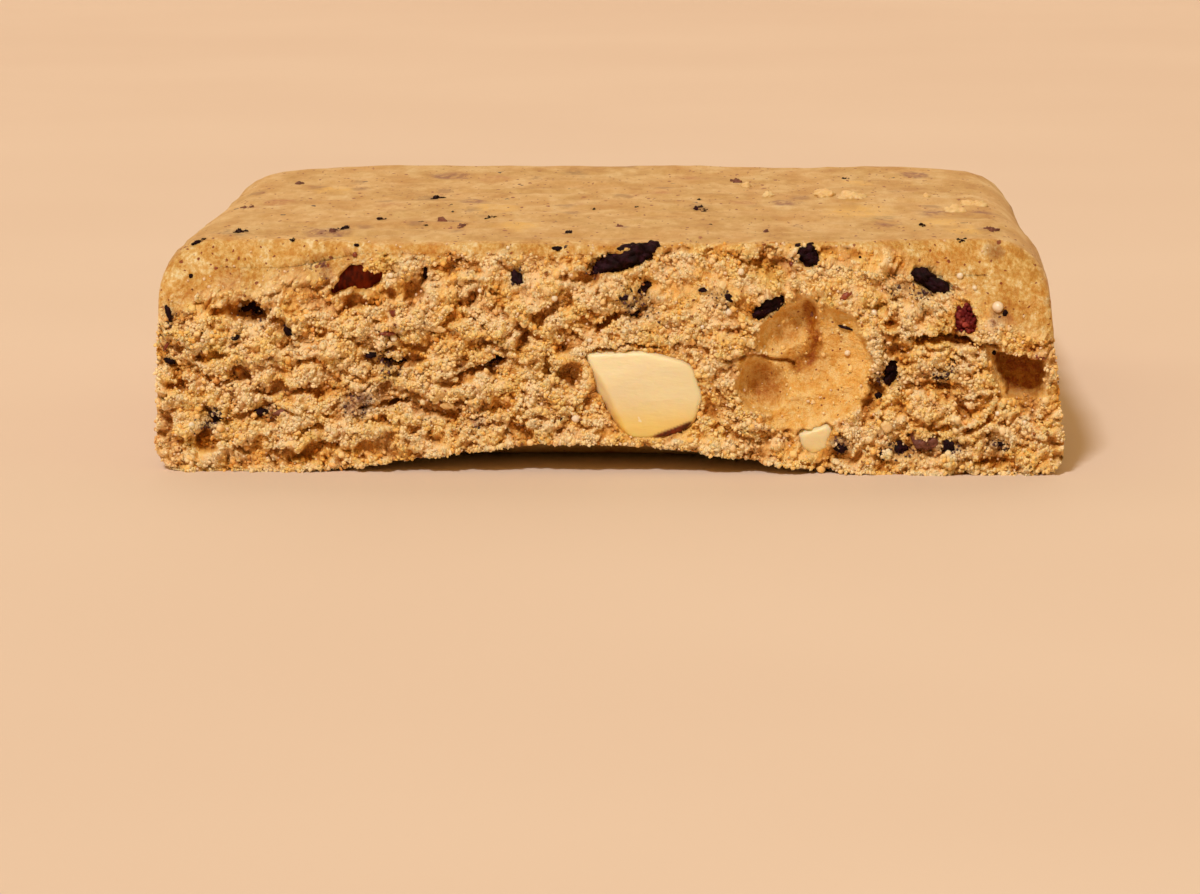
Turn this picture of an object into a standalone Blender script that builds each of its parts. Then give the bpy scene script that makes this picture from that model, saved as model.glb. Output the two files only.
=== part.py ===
"""One half of a nut and fruit protein bar, snapped across its middle.

Units are metres and +Z is up. X runs across the bar, and Y along it, from the broken face at the
front (-Y) to the moulded end at the back (+Y). The bar rests on its flat base at Z = 0, and the
origin is at the middle of that base.

The dough is one solid. The nut pieces and the fruit pieces that show in the broken face are
separate solids, each in a socket of its own.
"""

import math

import bmesh
import bpy
from mathutils import Matrix, Vector, noise

MM = 0.001

# Driving dimensions of the half bar.
BAR_WIDTH = 44.5 * MM
BAR_HEIGHT = 11.2 * MM
HALF_LENGTH = 47.0 * MM
TOP_RADIUS = 2.6 * MM
BASE_RADIUS = 1.2 * MM
LIP_RADIUS = 0.8 * MM
LEFT_CORNER_RADIUS = 6.0 * MM
RIGHT_CORNER_RADIUS = 3.0 * MM
LEFT_LEAN = 0.3 * MM
RIGHT_LEAN = 1.0 * MM
END_DROP = 0.4 * MM
SIDE_SWELL = 0.35 * MM

# The broken face: its lumps, and the corners where the skin rolls over onto it.
LUMP_DEPTH = 0.9 * MM
LUMP_SIZE = 2.4 * MM
FACE_FADE = 3.5 * MM
CORNER_ROLL = 1.6 * MM
LEFT_ROLL_X = -12.5 * MM
LEFT_ROLL_WIDTH = 4.0 * MM
LEFT_ROLL_Z = 8.6 * MM
RIGHT_ROLL_X = 11.5 * MM
RIGHT_ROLL_WIDTH = 7.0 * MM
RIGHT_ROLL_Z = 6.8 * MM

# The shallow arch under the edge of the broken face.
ARCH_RISE = 1.6 * MM
ARCH_LENGTH = 7.0 * MM
ARCH_FROM_X = -17.0 * MM
ARCH_TO_X = 14.5 * MM

# A buried piece sits in a socket this much larger all round.
SOCKET_GAP = 0.3 * MM

# The lattice that the dough is built on.
COLUMNS = 44
HEIGHT_STEPS = (2, 7, 4)
LENGTH_STEPS = (2, 9, 5)

FRONT_Y = -HALF_LENGTH / 2

DOUGH = (0.66, 0.40, 0.15)
ALMOND = (0.87, 0.66, 0.32)
ALMOND_SKIN = (0.16, 0.03, 0.01)
BLUEBERRY = (0.02, 0.008, 0.012)
CRANBERRY = (0.18, 0.02, 0.02)


def clear_scene():
    for obj in list(bpy.data.objects):
        bpy.data.objects.remove(obj)


def material(name, colour, roughness):
    made = bpy.data.materials.new(name)
    made.use_nodes = True
    shader = made.node_tree.nodes["Principled BSDF"]
    shader.inputs["Base Color"].default_value = (*colour, 1)
    shader.inputs["Roughness"].default_value = roughness
    return made


def add_object(name, mesh, made_of):
    mesh.materials.append(made_of)
    obj = bpy.data.objects.new(name, mesh)
    bpy.context.scene.collection.objects.link(obj)
    return obj


def smoothstep(low, high, value):
    t = min(1.0, max(0.0, (value - low) / (high - low)))
    return t * t * (3 - 2 * t)


def stations(length, start_radius, end_radius, steps):
    """Positions along an edge with a round at each end, closer together in the rounds."""
    start_steps, middle_steps, end_steps = steps
    quarter = math.pi / 2
    start = [start_radius * (1 - math.cos(quarter * k / start_steps)) for k in range(start_steps)]
    middle_length = length - start_radius - end_radius
    middle = [start_radius + middle_length * k / middle_steps for k in range(middle_steps)]
    end = [length - end_radius * (1 - math.sin(quarter * k / end_steps)) for k in range(end_steps)]
    return start + middle + end + [length]


def round_over(distance, radius):
    """How far a rounded edge has fallen back, at a distance from the face that it rounds off."""
    if distance >= radius:
        return 0.0
    return radius - math.sqrt(radius**2 - (radius - distance) ** 2)


def arch_rise(x, along):
    """How far the base is lifted under the edge of the broken face."""
    if not ARCH_FROM_X < x < ARCH_TO_X:
        return 0.0
    across = math.sin(math.pi * (x - ARCH_FROM_X) / (ARCH_TO_X - ARCH_FROM_X)) ** 2
    return ARCH_RISE * across * (1 - smoothstep(0, ARCH_LENGTH, along))


def corner_roll(x, z):
    """How far the face falls back where the skin rolls over its two top corners."""
    left = smoothstep(0, LEFT_ROLL_WIDTH, LEFT_ROLL_X - x)
    right = smoothstep(0, RIGHT_ROLL_WIDTH, x - RIGHT_ROLL_X)
    left_roll = left * smoothstep(LEFT_ROLL_Z, BAR_HEIGHT, z)
    right_roll = right * smoothstep(RIGHT_ROLL_Z, BAR_HEIGHT, z)
    return CORNER_ROLL * (left_roll + right_roll)


def face_depth(x, z):
    """How far the broken face lies behind its front plane."""
    lump = noise.fractal(Vector((x, 0, 1.6 * z)) / LUMP_SIZE, 0.9, 2.0, 3)
    return LUMP_DEPTH * (0.5 + 0.5 * max(-1.0, min(1.0, lump))) + corner_roll(x, z)


def side_swell(along):
    """The sides swell a little along their length, in two waves."""
    share = along / HALF_LENGTH
    return SIDE_SWELL * math.sin(math.pi * share) * (1 + math.sin(9 * share)) / 2


def body_point(column, height, along):
    """A point of the dough's surface: 0 to 1 across, up from the base, back from the face."""
    share = height / BAR_HEIGHT
    row_inset = round_over(height, BASE_RADIUS) + round_over(BAR_HEIGHT - height, TOP_RADIUS)
    lip = round_over(along, LIP_RADIUS)
    side_inset = row_inset + lip - side_swell(along)
    left_inset = side_inset + round_over(HALF_LENGTH - along, LEFT_CORNER_RADIUS)
    right_inset = side_inset + round_over(HALF_LENGTH - along, RIGHT_CORNER_RADIUS)
    left = -BAR_WIDTH / 2 + left_inset + LEFT_LEAN * share
    right = BAR_WIDTH / 2 - right_inset - RIGHT_LEAN * share
    x = left + (right - left) * column
    top = BAR_HEIGHT - lip - END_DROP * smoothstep(0, HALF_LENGTH, along)
    z = top * share + arch_rise(x, along) * (1 - share) ** 2
    depth = face_depth(x, z) * (1 - smoothstep(0, FACE_FADE, along))
    y = FRONT_Y + along * (1 - row_inset / HALF_LENGTH) + depth
    return Vector((x, y, z))


def lattice_faces(sizes):
    """The quads of the outside of a lattice of points, as lists of (i, j, k) corners."""
    for axis in range(3):
        u, v = (axis + 1) % 3, (axis + 2) % 3
        for side in (0, sizes[axis] - 1):
            for a in range(sizes[u] - 1):
                for b in range(sizes[v] - 1):
                    corners = []
                    for p, q in ((a, b), (a + 1, b), (a + 1, b + 1), (a, b + 1)):
                        corner = [0, 0, 0]
                        corner[axis], corner[u], corner[v] = side, p, q
                        corners.append(tuple(corner))
                    yield corners


def build_dough(made_of):
    heights = stations(BAR_HEIGHT, BASE_RADIUS, TOP_RADIUS, HEIGHT_STEPS)
    lengths = stations(HALF_LENGTH, LIP_RADIUS, LEFT_CORNER_RADIUS, LENGTH_STEPS)
    bm = bmesh.new()
    verts = {}
    for corners in lattice_faces((COLUMNS + 1, len(lengths), len(heights))):
        for i, j, k in corners:
            if (i, j, k) not in verts:
                verts[i, j, k] = bm.verts.new(body_point(i / COLUMNS, heights[k], lengths[j]))
        bm.faces.new([verts[c] for c in corners])
    bmesh.ops.recalc_face_normals(bm, faces=bm.faces)
    mesh = bpy.data.meshes.new("bar_dough")
    bm.to_mesh(mesh)
    bm.free()
    mesh.shade_smooth()
    return add_object("bar_dough", mesh, made_of)


def cut_by_plane(bm, point, normal):
    """Removes what lies beyond a plane and closes the cut."""
    geometry = bm.verts[:] + bm.edges[:] + bm.faces[:]
    cut = bmesh.ops.bisect_plane(
        bm, geom=geometry, plane_co=point, plane_no=normal, clear_outer=True
    )
    rim = [e for e in cut["geom_cut"] if isinstance(e, bmesh.types.BMEdge)]
    if rim:
        bmesh.ops.edgeloop_fill(bm, edges=rim)


def chunk_mesh(name, radii, tilt, facets=(), grow=0.0):
    """An ellipsoid with flat facets cut into it, grown all round by grow.

    tilt turns it about Y, in degrees. Each facet is (azimuth, elevation, distance): the direction
    of its outward normal in degrees, azimuth from +X towards +Z and elevation towards -Y, and its
    distance from the middle.
    """
    bm = bmesh.new()
    detail = 3 if max(radii) > 2 * MM else 2
    bmesh.ops.create_icosphere(bm, subdivisions=detail, radius=1.0)
    size = Matrix.Diagonal([r + grow for r in radii]).to_4x4()
    turn = Matrix.Rotation(math.radians(-tilt), 4, "Y")
    bmesh.ops.transform(bm, matrix=turn @ size, verts=bm.verts)
    for azimuth, elevation, distance in facets:
        a, e = math.radians(azimuth), math.radians(elevation)
        normal = Vector((math.cos(a) * math.cos(e), -math.sin(e), math.sin(a) * math.cos(e)))
        cut_by_plane(bm, normal * (distance + grow), normal)
    bmesh.ops.recalc_face_normals(bm, faces=bm.faces)
    mesh = bpy.data.meshes.new(name)
    bm.to_mesh(mesh)
    bm.free()
    mesh.shade_smooth()
    mesh.set_sharp_from_angle(angle=math.radians(25))
    return mesh


def carve(dough, name, mesh, place, made_of):
    """Cuts a hidden tool's shape out of the dough."""
    tool = add_object(name, mesh, made_of)
    tool.location = place
    tool.hide_render = True
    tool.display_type = "WIRE"
    boolean = dough.modifiers.new(name, "BOOLEAN")
    boolean.operation = "DIFFERENCE"
    boolean.solver = "EXACT"
    boolean.object = tool


def embed(dough, name, made_of, centre, radii, tilt=0.0, facets=()):
    """Adds a buried piece and its socket. centre is (x, z, depth behind the front plane)."""
    x, z, depth = centre
    place = (x, FRONT_Y + depth, z)
    piece = add_object(name, chunk_mesh(name, radii, tilt, facets), made_of)
    piece.location = place
    socket = name + "_socket"
    carve(dough, socket, chunk_mesh(socket, radii, tilt, facets, SOCKET_GAP), place, made_of)


def in_mm(*values):
    return tuple(value * MM for value in values)


def facets_in_mm(*facets):
    return tuple((azimuth, elevation, distance * MM) for azimuth, elevation, distance in facets)


def carve_hollows(dough, made_of):
    """The print that a lost nut left, and the two open pockets of the broken face."""
    hollows = (
        # name, (x, z, depth of the middle), radii, tilt
        ("nut_print", in_mm(8.9, 5.3, -0.9), in_mm(2.9, 2.6, 3.3), 20),
        ("side_pocket", in_mm(19.7, 4.9, 1.0), in_mm(1.15, 2.6, 1.05), -15),
        ("top_pocket", in_mm(-12.4, 9.15, 0.4), in_mm(1.5, 1.7, 0.75), 28),
    )
    for name, (x, z, depth), radii, tilt in hollows:
        carve(dough, name, chunk_mesh(name, radii, tilt), (x, FRONT_Y + depth, z), made_of)


def add_nuts(dough):
    almond = material("almond_flesh", ALMOND, 0.45)
    skin = material("almond_skin", ALMOND_SKIN, 0.4)
    chunk_facets = facets_in_mm(
        # Round the outline, from the top.
        (92, 10, 1.85), (57, 5, 1.95), (8, 5, 2.6), (-48, 10, 2.6),
        (-85, 8, 2.15), (-146, 18, 2.15), (168, 8, 2.6),
        # The two facets that face the front.
        (75, 78, 1.95), (-146, 45, 2.05),
    )
    embed(dough, "almond_chunk", almond, in_mm(1.75, 3.95, 1.55), in_mm(3.3, 2.7, 2.9),
          -20, chunk_facets)
    embed(dough, "almond_skinned_piece", skin, in_mm(-12.35, 9.15, 2.9), in_mm(1.9, 1.1, 0.95),
          24, facets_in_mm((40, 70, 0.75)))
    embed(dough, "almond_sliver", almond, in_mm(9.95, 1.75, 1.5), in_mm(1.2, 1.3, 0.8),
          55, facets_in_mm((0, 80, 1.05)))


def add_fruit(dough):
    blue = material("blueberry_flesh", BLUEBERRY, 0.5)
    red = material("cranberry_flesh", CRANBERRY, 0.5)
    pieces = (
        # name, material, (x, z, depth of the middle), radii, tilt
        ("blueberry_top", blue, in_mm(0.65, 10.3, 1.2), in_mm(1.75, 0.9, 0.5), 15),
        ("blueberry_nib", blue, in_mm(9.65, 10.4, 1.25), in_mm(0.6, 0.8, 0.5), 0),
        ("blueberry_shoulder", blue, in_mm(15.35, 9.05, 1.75), in_mm(1.0, 0.8, 0.5), -25),
        ("blueberry_slanted", blue, in_mm(7.65, 7.95, 1.15), in_mm(0.9, 0.8, 0.4), 38),
        ("blueberry_side", blue, in_mm(13.4, 4.85, 1.2), in_mm(0.75, 0.8, 0.45), 55),
        ("cranberry_bead", red, in_mm(17.2, 7.4, 1.5), in_mm(0.75, 0.8, 0.75), 0),
    )
    for name, made_of, centre, radii, tilt in pieces:
        embed(dough, name, made_of, centre, radii, tilt)


def main():
    clear_scene()
    crumb = material("bar_dough", DOUGH, 0.75)
    dough = build_dough(crumb)
    carve_hollows(dough, crumb)
    add_nuts(dough)
    add_fruit(dough)


main()
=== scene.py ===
"""The looks of half a nut and fruit protein bar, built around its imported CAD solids.

Shapes are worked out in millimetres, in the frame of the CAD, and turned into metres when they
become meshes. X runs across the bar, Y along it from the broken face, and Z is up.
"""

import math

import bmesh
import bpy
import numpy as np
from mathutils import Matrix, Quaternion, Vector, kdtree, noise


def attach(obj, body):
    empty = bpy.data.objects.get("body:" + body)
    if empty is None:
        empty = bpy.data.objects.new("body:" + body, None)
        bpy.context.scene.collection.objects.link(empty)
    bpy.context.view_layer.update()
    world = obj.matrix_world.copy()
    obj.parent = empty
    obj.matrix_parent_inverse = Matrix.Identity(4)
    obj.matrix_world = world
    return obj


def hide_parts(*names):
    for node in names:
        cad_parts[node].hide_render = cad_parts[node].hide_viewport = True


MM = 0.001

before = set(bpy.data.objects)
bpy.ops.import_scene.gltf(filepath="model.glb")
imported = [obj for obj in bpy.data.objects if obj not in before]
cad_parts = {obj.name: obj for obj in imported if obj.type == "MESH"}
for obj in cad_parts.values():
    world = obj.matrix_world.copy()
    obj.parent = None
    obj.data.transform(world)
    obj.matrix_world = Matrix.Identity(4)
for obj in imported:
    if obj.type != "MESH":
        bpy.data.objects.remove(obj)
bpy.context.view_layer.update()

# ---------------------------------------------------------------- the half bar, in millimetres

WIDTH = 44.5
HEIGHT = 11.2
LENGTH = 47.0
FRONT = -LENGTH / 2
TOP_RADIUS = 2.6
BASE_RADIUS = 1.2
LIP_RADIUS = 0.45
LEFT_CORNER_LIP = 0.8
RIGHT_CORNER_LIP = 1.1
LEFT_CORNER_RADIUS = 6.0
RIGHT_CORNER_RADIUS = 3.0
LEFT_LEAN = 0.3
RIGHT_LEAN = 1.0
END_DROP = 0.4
SIDE_SWELL = 0.35

# The grid of the broken face, and the rings of the skin behind it, which halve their points
# twice on the way back. The face's rim has 2 * (COLUMNS + rows) points, a multiple of four.
COLUMNS = 504
ROW_STEPS = (10, 87, 23)
LIP_RINGS = (0.08, 0.17, 0.28, 0.42, 0.6)
SHOULDER_RINGS = (0.85, 1.15, 1.5, 1.9, 2.4, 3.0)
SKIN_RINGS = 52
END_RINGS = 8


def smoothstep(low, high, value):
    """0 at low and before it, 1 at high and past it, with a smooth change between them."""
    t = np.clip((value - low) / (high - low), 0.0, 1.0)
    return t * t * (3 - 2 * t)


def round_over(distance, radius):
    """How far a rounded edge has fallen back, at a distance from the face that it rounds off."""
    reach = np.clip(radius - distance, 0.0, radius)
    return radius - np.sqrt(radius**2 - reach**2)


def stations(length, start_radius, end_radius, steps):
    """Positions along an edge with a round at each end, closer together in the rounds."""
    start_steps, middle_steps, end_steps = steps
    start = start_radius * (1 - np.cos(np.pi / 2 * np.arange(start_steps) / start_steps))
    middle_length = length - start_radius - end_radius
    middle = start_radius + middle_length * np.arange(middle_steps) / middle_steps
    end = length - end_radius * (1 - np.sin(np.pi / 2 * np.arange(end_steps) / end_steps))
    return np.concatenate([start, middle, end, [length]])


# ---------------------------------------------------------------- noise

# Random numbers that the flat noises look up by the whole-numbered corners of their cells.
CHANCE = np.random.default_rng(11).random(4096)


def chance(i, j, seed):
    """A random number of its own for each cell corner, the same in every run."""
    return CHANCE[(i * 73856093 ^ j * 19349663 ^ seed * 83492791) & 4095]


def waves(x, z, size, seed):
    """Smooth flat noise from about -1 to 1, in waves about size millimetres long."""
    u, v = x / size + 31.7 * seed, z / size + 17.9 * seed
    i, j = np.floor(u).astype(int), np.floor(v).astype(int)
    du, dv = u - i, v - j

    def pull(a, b):
        angle = 2 * np.pi * chance(i + a, j + b, seed)
        return np.cos(angle) * (du - a) + np.sin(angle) * (dv - b)

    across = du**3 * (du * (6 * du - 15) + 10)
    up = dv**3 * (dv * (6 * dv - 15) + 10)
    low = pull(0, 0) + across * (pull(1, 0) - pull(0, 0))
    high = pull(0, 1) + across * (pull(1, 1) - pull(0, 1))
    return 1.5 * (low + up * (high - low))


def fractal(x, z, size, seed, octaves, gain):
    """Waves on waves, each set half as long as the last."""
    total = 0.0
    for k in range(octaves):
        total = total + gain**k * waves(x, z, size / 2**k, seed + 5 * k)
    return total


def swell(points, size, seed, octaves=1):
    """Smooth noise from about -1 to 1 at points in space."""
    spots = points / np.asarray(size) + 17.3 * seed
    if octaves == 1:
        return np.array([noise.noise(Vector(p)) for p in spots])
    return np.array([noise.fractal(Vector(p), 0.8, 2.0, octaves) for p in spots])


# ---------------------------------------------------------------- the form of the whole body

ARCH_FROM_X, ARCH_TO_X = -17.0, 14.5
ARCH_RISE, ARCH_LENGTH = 1.5, 7.0


def arch_rise(x, along):
    """How far the base is lifted under the edge of the broken face."""
    span = np.clip((x - ARCH_FROM_X) / (ARCH_TO_X - ARCH_FROM_X), 0, 1)
    return ARCH_RISE * np.sin(np.pi * span) ** 2 * (1 - smoothstep(0, ARCH_LENGTH, along))


def skin_edge(x):
    """The height on the broken face at which the smooth skin ends, across the bar."""
    left = 9.0 - 1.4 * smoothstep(-18.5, -22.5, x) + 0.5 * smoothstep(-17.5, -15.5, x)
    middle = 1.15 * smoothstep(-12.6, -11.2, x) + 0.45 * smoothstep(1, 4, x)
    right = 4.8 * smoothstep(12, 23, x)
    return left + middle - right


def corner_roll(x, z):
    """How far the face falls back where the skin rolls over its top corners and its top edge."""
    left = 1.5 * smoothstep(0, 3.5, -12.5 - x) * smoothstep(8.6, HEIGHT, z)
    right = 1.7 * smoothstep(0, 8, x - 10.5) * smoothstep(6.8, HEIGHT, z)
    return left + right


def top_lip_radius(column):
    """The round between face and top, wider where skin runs over it at both corners."""
    left = LEFT_CORNER_LIP * smoothstep(0.20, 0.08, column)
    right = RIGHT_CORNER_LIP * smoothstep(0.70, 0.90, column)
    return LIP_RADIUS + left + right


def side_swell(along):
    """How far the sides stand out, in two soft waves on the way back."""
    share = along / LENGTH
    return SIDE_SWELL * np.sin(np.pi * share) * (1 + np.sin(9 * share)) / 2


def body_points(column, height, along):
    """Points of the plain body: 0 to 1 across, up from the base, back from the face."""
    share = height / HEIGHT
    row_inset = round_over(height, BASE_RADIUS) + round_over(HEIGHT - height, TOP_RADIUS)
    lip = round_over(along, LIP_RADIUS)
    side_inset = row_inset + lip - side_swell(along)
    left_inset = side_inset + round_over(LENGTH - along, LEFT_CORNER_RADIUS)
    right_inset = side_inset + round_over(LENGTH - along, RIGHT_CORNER_RADIUS)
    left = -WIDTH / 2 + left_inset + LEFT_LEAN * share
    right = WIDTH / 2 - right_inset - RIGHT_LEAN * share
    x = left + (right - left) * column
    top_lip = round_over(along, top_lip_radius(column))
    top = HEIGHT - top_lip - END_DROP * smoothstep(0, LENGTH, along)
    z = top * share + arch_rise(x, along) * (1 - share) ** 2
    roll = corner_roll(x, z) * (1 - smoothstep(0, 4.5, along))
    y = FRONT + along * (1 - row_inset / LENGTH) + roll
    return np.stack([x, y, z], axis=-1)


def end_grid(columns, heights):
    """The columns and heights of a grid of points over one end of the body, row by row."""
    column_grid, height_grid = np.meshgrid(np.arange(columns + 1) / columns, heights)
    return column_grid.ravel(), height_grid.ravel()


def rim_indices(columns, rows):
    """The points round the rim of such a grid: base, right side, top and left side."""
    width = columns + 1
    base = list(range(columns))
    right = [columns + width * r for r in range(rows)]
    top = [width * rows + columns - c for c in range(columns)]
    left = [width * r for r in range(rows, 0, -1)]
    return base + right + top + left


def grid_faces(columns, rows, start, flip):
    """The quads of a grid of points, row by row from index start."""
    width = columns + 1
    faces = []
    for r in range(rows):
        for c in range(columns):
            a = start + width * r + c
            quad = (a, a + 1, a + 1 + width, a + width)
            faces.append(quad[::-1] if flip else quad)
    return faces


def ring_faces(near, far):
    """Faces between two rings: of equal count, or with half as many points on the far one."""
    count = len(far)
    faces = []
    for i in range(count):
        j = (i + 1) % count
        if len(near) == count:
            faces.append((near[i], far[i], far[j], near[j]))
        else:
            a, b, c = near[2 * i], near[2 * i + 1], near[(2 * i + 2) % len(near)]
            faces += [(a, far[i], b), (b, far[i], far[j]), (b, far[j], c)]
    return faces


def plain_body():
    """The closed body's points and faces. The broken face's grid of points comes first."""
    heights = stations(HEIGHT, BASE_RADIUS, TOP_RADIUS, ROW_STEPS)
    rows = len(heights) - 1
    column_grid, height_grid = end_grid(COLUMNS, heights)
    points = [body_points(column_grid, height_grid, 0.0)]
    faces = grid_faces(COLUMNS, rows, 0, flip=False)
    total = len(points[0])
    ring = rim_indices(COLUMNS, rows)
    rim_columns, rim_heights = column_grid[ring], height_grid[ring]

    straight = np.linspace(SHOULDER_RINGS[-1], LENGTH - LEFT_CORNER_RADIUS, SKIN_RINGS)[1:]
    turn = np.sin(np.pi / 2 * np.arange(1, END_RINGS + 1) / END_RINGS)
    back = LENGTH - LEFT_CORNER_RADIUS * (1 - turn)
    stages = ((LIP_RINGS, 1), (SHOULDER_RINGS, 2), (tuple(straight) + tuple(back[:-1]), 4))
    for distances, step in stages:
        for along in distances:
            points.append(body_points(rim_columns[::step], rim_heights[::step], along))
            new_ring = list(range(total, total + len(points[-1])))
            faces += ring_faces(ring, new_ring)
            ring = new_ring
            total += len(ring)

    end_columns, end_rows = COLUMNS // 4, rows // 4
    points.append(body_points(*end_grid(end_columns, heights[::4]), LENGTH))
    faces += grid_faces(end_columns, end_rows, total, flip=True)
    faces += ring_faces(ring, [total + i for i in rim_indices(end_columns, end_rows)])
    return np.concatenate(points), faces


def mesh_object(name, points, faces):
    """An object from points in millimetres."""
    mesh = bpy.data.meshes.new(name)
    mesh.from_pydata((np.asarray(points) * MM).tolist(), [], faces)
    mesh.shade_smooth()
    obj = bpy.data.objects.new(name, mesh)
    bpy.context.scene.collection.objects.link(obj)
    return obj


def vertex_points(obj):
    """An object's vertices in millimetres."""
    points = np.zeros(len(obj.data.vertices) * 3, np.float32)
    obj.data.vertices.foreach_get("co", points)
    return points.reshape(-1, 3).astype(float) / MM


def vertex_normals(obj):
    normals = np.zeros(len(obj.data.vertices) * 3, np.float32)
    obj.data.vertex_normals.foreach_get("vector", normals)
    return normals.reshape(-1, 3).astype(float)


def paint(obj, name, *channels):
    """Stores four values for each vertex as a colour attribute that materials read."""
    layer = obj.data.color_attributes.new(name, "FLOAT_COLOR", "POINT")
    layer.data.foreach_set("color", np.stack(channels, axis=-1).astype(np.float32).ravel())


# ---------------------------------------------------------------- the pieces in the dough

# Each embedded piece: the CAD node that it replaces and its material, its middle (x, z), how
# deep the middle lies behind the front plane, radii, tilt in degrees, flat facets as (azimuth,
# elevation, distance), how sharp their edges are, and which facets have kept their skin, or
# which are bare where the rest has kept it. The crumb's socket behind it has a depth and starts
# at a share of the outline, its rim. A piece with no socket lies at the bottom of a pocket. A
# fruit has lobes instead of facets, as (x, z, radius along, radius across) from its middle, and
# detail is how finely a nut is meshed.
CHUNK_FACETS = (
    (93, 12, 2.36), (75, 8, 2.24), (56, 12, 2.68), (18, 12, 2.91), (-21, 15, 3.06),
    (-56, 8, 2.83), (-82, 8, 2.51), (-93, 12, 2.50), (-123, 15, 2.53), (-149, 15, 2.26),
    (-164, 12, 2.49), (-69, 45, 2.66), (107, 80, 2.085), (-73, 84, 1.84), (-152, 40, 2.38),
)
NUTS = (
    dict(node="almond_chunk", slot="nut_flesh", middle=(1.75, 3.95), depth=1.5,
         radii=(3.9, 3.4, 3.5), tilt=-20, facets=CHUNK_FACETS, edge=40, skinned=(5, 11),
         socket=1.2, rim=0.88, detail=6),
    dict(node="almond_sliver", slot="nut_flesh", middle=(10.15, 1.75), depth=1.0,
         radii=(1.3, 1.2, 1.3), tilt=0, edge=18,
         facets=((110, 25, 0.78), (-19, 15, 0.80), (-68, 15, 0.90), (-119, 15, 1.00),
                 (-166, 20, 1.10), (-80, 80, 0.95)),
         socket=0.5, rim=0.75, detail=5),
    dict(node="almond_skinned_piece", slot="nut_skin", middle=(-12.2, 9.45), depth=2.1,
         radii=(2.5, 1.6, 1.5), tilt=24, facets=((-60, 66, 1.2), (50, 46, 1.62)), edge=22,
         bare=(1,), detail=5),
)
FRUITS = (
    dict(node="blueberry_top", slot="blue_fruit", middle=(0.75, 10.5), depth=0.48,
         radii=(1.95, 0.9, 0.6), tilt=14, socket=0.6,
         lobes=((-1.25, -0.36, 0.6, 0.24), (-0.55, -0.06, 0.9, 0.44), (0.25, 0.06, 0.95, 0.56),
                (1.2, 0.14, 0.75, 0.36))),
    dict(node="blueberry_nib", slot="blue_fruit", middle=(9.65, 10.65), depth=0.52,
         radii=(0.6, 0.8, 0.55), tilt=0, socket=0.6,
         lobes=((-0.1, 0.1, 0.5, 0.46), (0.18, -0.15, 0.42, 0.40), (-0.45, 0.32, 0.24, 0.16))),
    dict(node="blueberry_shoulder", slot="blue_fruit", middle=(15.65, 9.35), depth=0.90,
         radii=(1.1, 0.8, 0.5), tilt=-20, socket=0.7,
         lobes=((-0.45, 0.14, 0.6, 0.34), (0.3, -0.04, 0.7, 0.30))),
    dict(node="blueberry_slanted", slot="blue_fruit", middle=(7.75, 8.15), depth=0.55,
         radii=(1.0, 0.8, 0.45), tilt=38, socket=0.6,
         lobes=((-0.45, -0.02, 0.65, 0.30), (0.15, 0.04, 0.75, 0.42))),
    dict(node="blueberry_side", slot="blue_fruit", middle=(13.75, 4.95), depth=0.60,
         radii=(0.7, 0.8, 0.42), tilt=70, socket=0.6,
         lobes=((-0.25, 0.0, 0.42, 0.32), (0.25, 0.02, 0.42, 0.28))),
)
BEAD = dict(node="cranberry_bead", slot="red_fruit", middle=(17.35, 7.55), depth=0.55,
            radii=(0.62, 0.6, 0.72), tilt=0, socket=0.6)

# Small bits that show on the broken face, as (x, z, half length, half height, tilt).
DARK_BITS = (
    (1.65, 9.1, 0.75, 0.20, 14), (1.2, 7.75, 0.25, 0.38, -20), (0.8, 8.65, 0.26, 0.13, 0),
    (-4.46, 9.63, 0.26, 0.36, 20), (-2.55, 11.0, 0.24, 0.13, 0), (-5.6, 5.4, 0.36, 0.15, 15),
    (-9.0, 9.75, 0.12, 0.36, 0), (-10.5, 5.45, 0.6, 0.13, -6), (-11.6, 5.8, 0.3, 0.14, 10),
    (4.56, 9.0, 0.22, 0.10, 0), (5.83, 8.55, 0.2, 0.2, 30), (14.2, 1.3, 0.4, 0.28, -20),
    (16.6, 1.45, 0.34, 0.30, 40), (19.1, 1.5, 0.6, 0.10, 5), (-17.4, 7.8, 0.55, 0.36, 0),
    (-18.2, 6.6, 0.2, 0.12, 20), (-15.6, 6.95, 0.26, 0.28, -30), (-21.5, 7.8, 0.13, 0.4, 15),
    (-21.5, 5.4, 0.28, 0.13, -15), (-11.9, 3.25, 0.32, 0.24, 0), (-17.0, 2.9, 0.34, 0.2, 10),
    (-19.2, 2.75, 0.3, 0.42, -35), (-20.4, 9.5, 0.12, 0.10, 0), (-12.25, 11.1, 0.13, 0.08, 0),
    (11.5, 7.1, 0.4, 0.08, -15), (11.35, 1.35, 0.36, 0.22, 10), (16.2, 4.75, 0.36, 0.08, -15),
    (19.26, 7.9, 0.12, 0.16, 0), (13.1, 3.8, 0.2, 0.14, 0), (18.75, 5.95, 0.10, 0.14, 0),
    (12.2, 10.5, 0.07, 0.07, 0), (13.4, 1.0, 0.25, 0.2, 0), (-2.3, 2.62, 0.06, 0.09, 0),
)
STAINED_BITS = (
    (-0.4, 10.25, 0.36, 0.32, 0), (-12.5, 3.5, 0.7, 0.22, -12), (11.1, 10.05, 0.26, 0.10, 0),
    (15.5, 1.5, 0.6, 0.3, 0), (-13.9, 10.1, 0.5, 0.16, 20), (9.9, 7.75, 0.10, 0.16, 0),
    (14.9, 1.8, 0.3, 0.3, 0), (-16.0, 2.9, 0.4, 0.15, 0),
)
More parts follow.
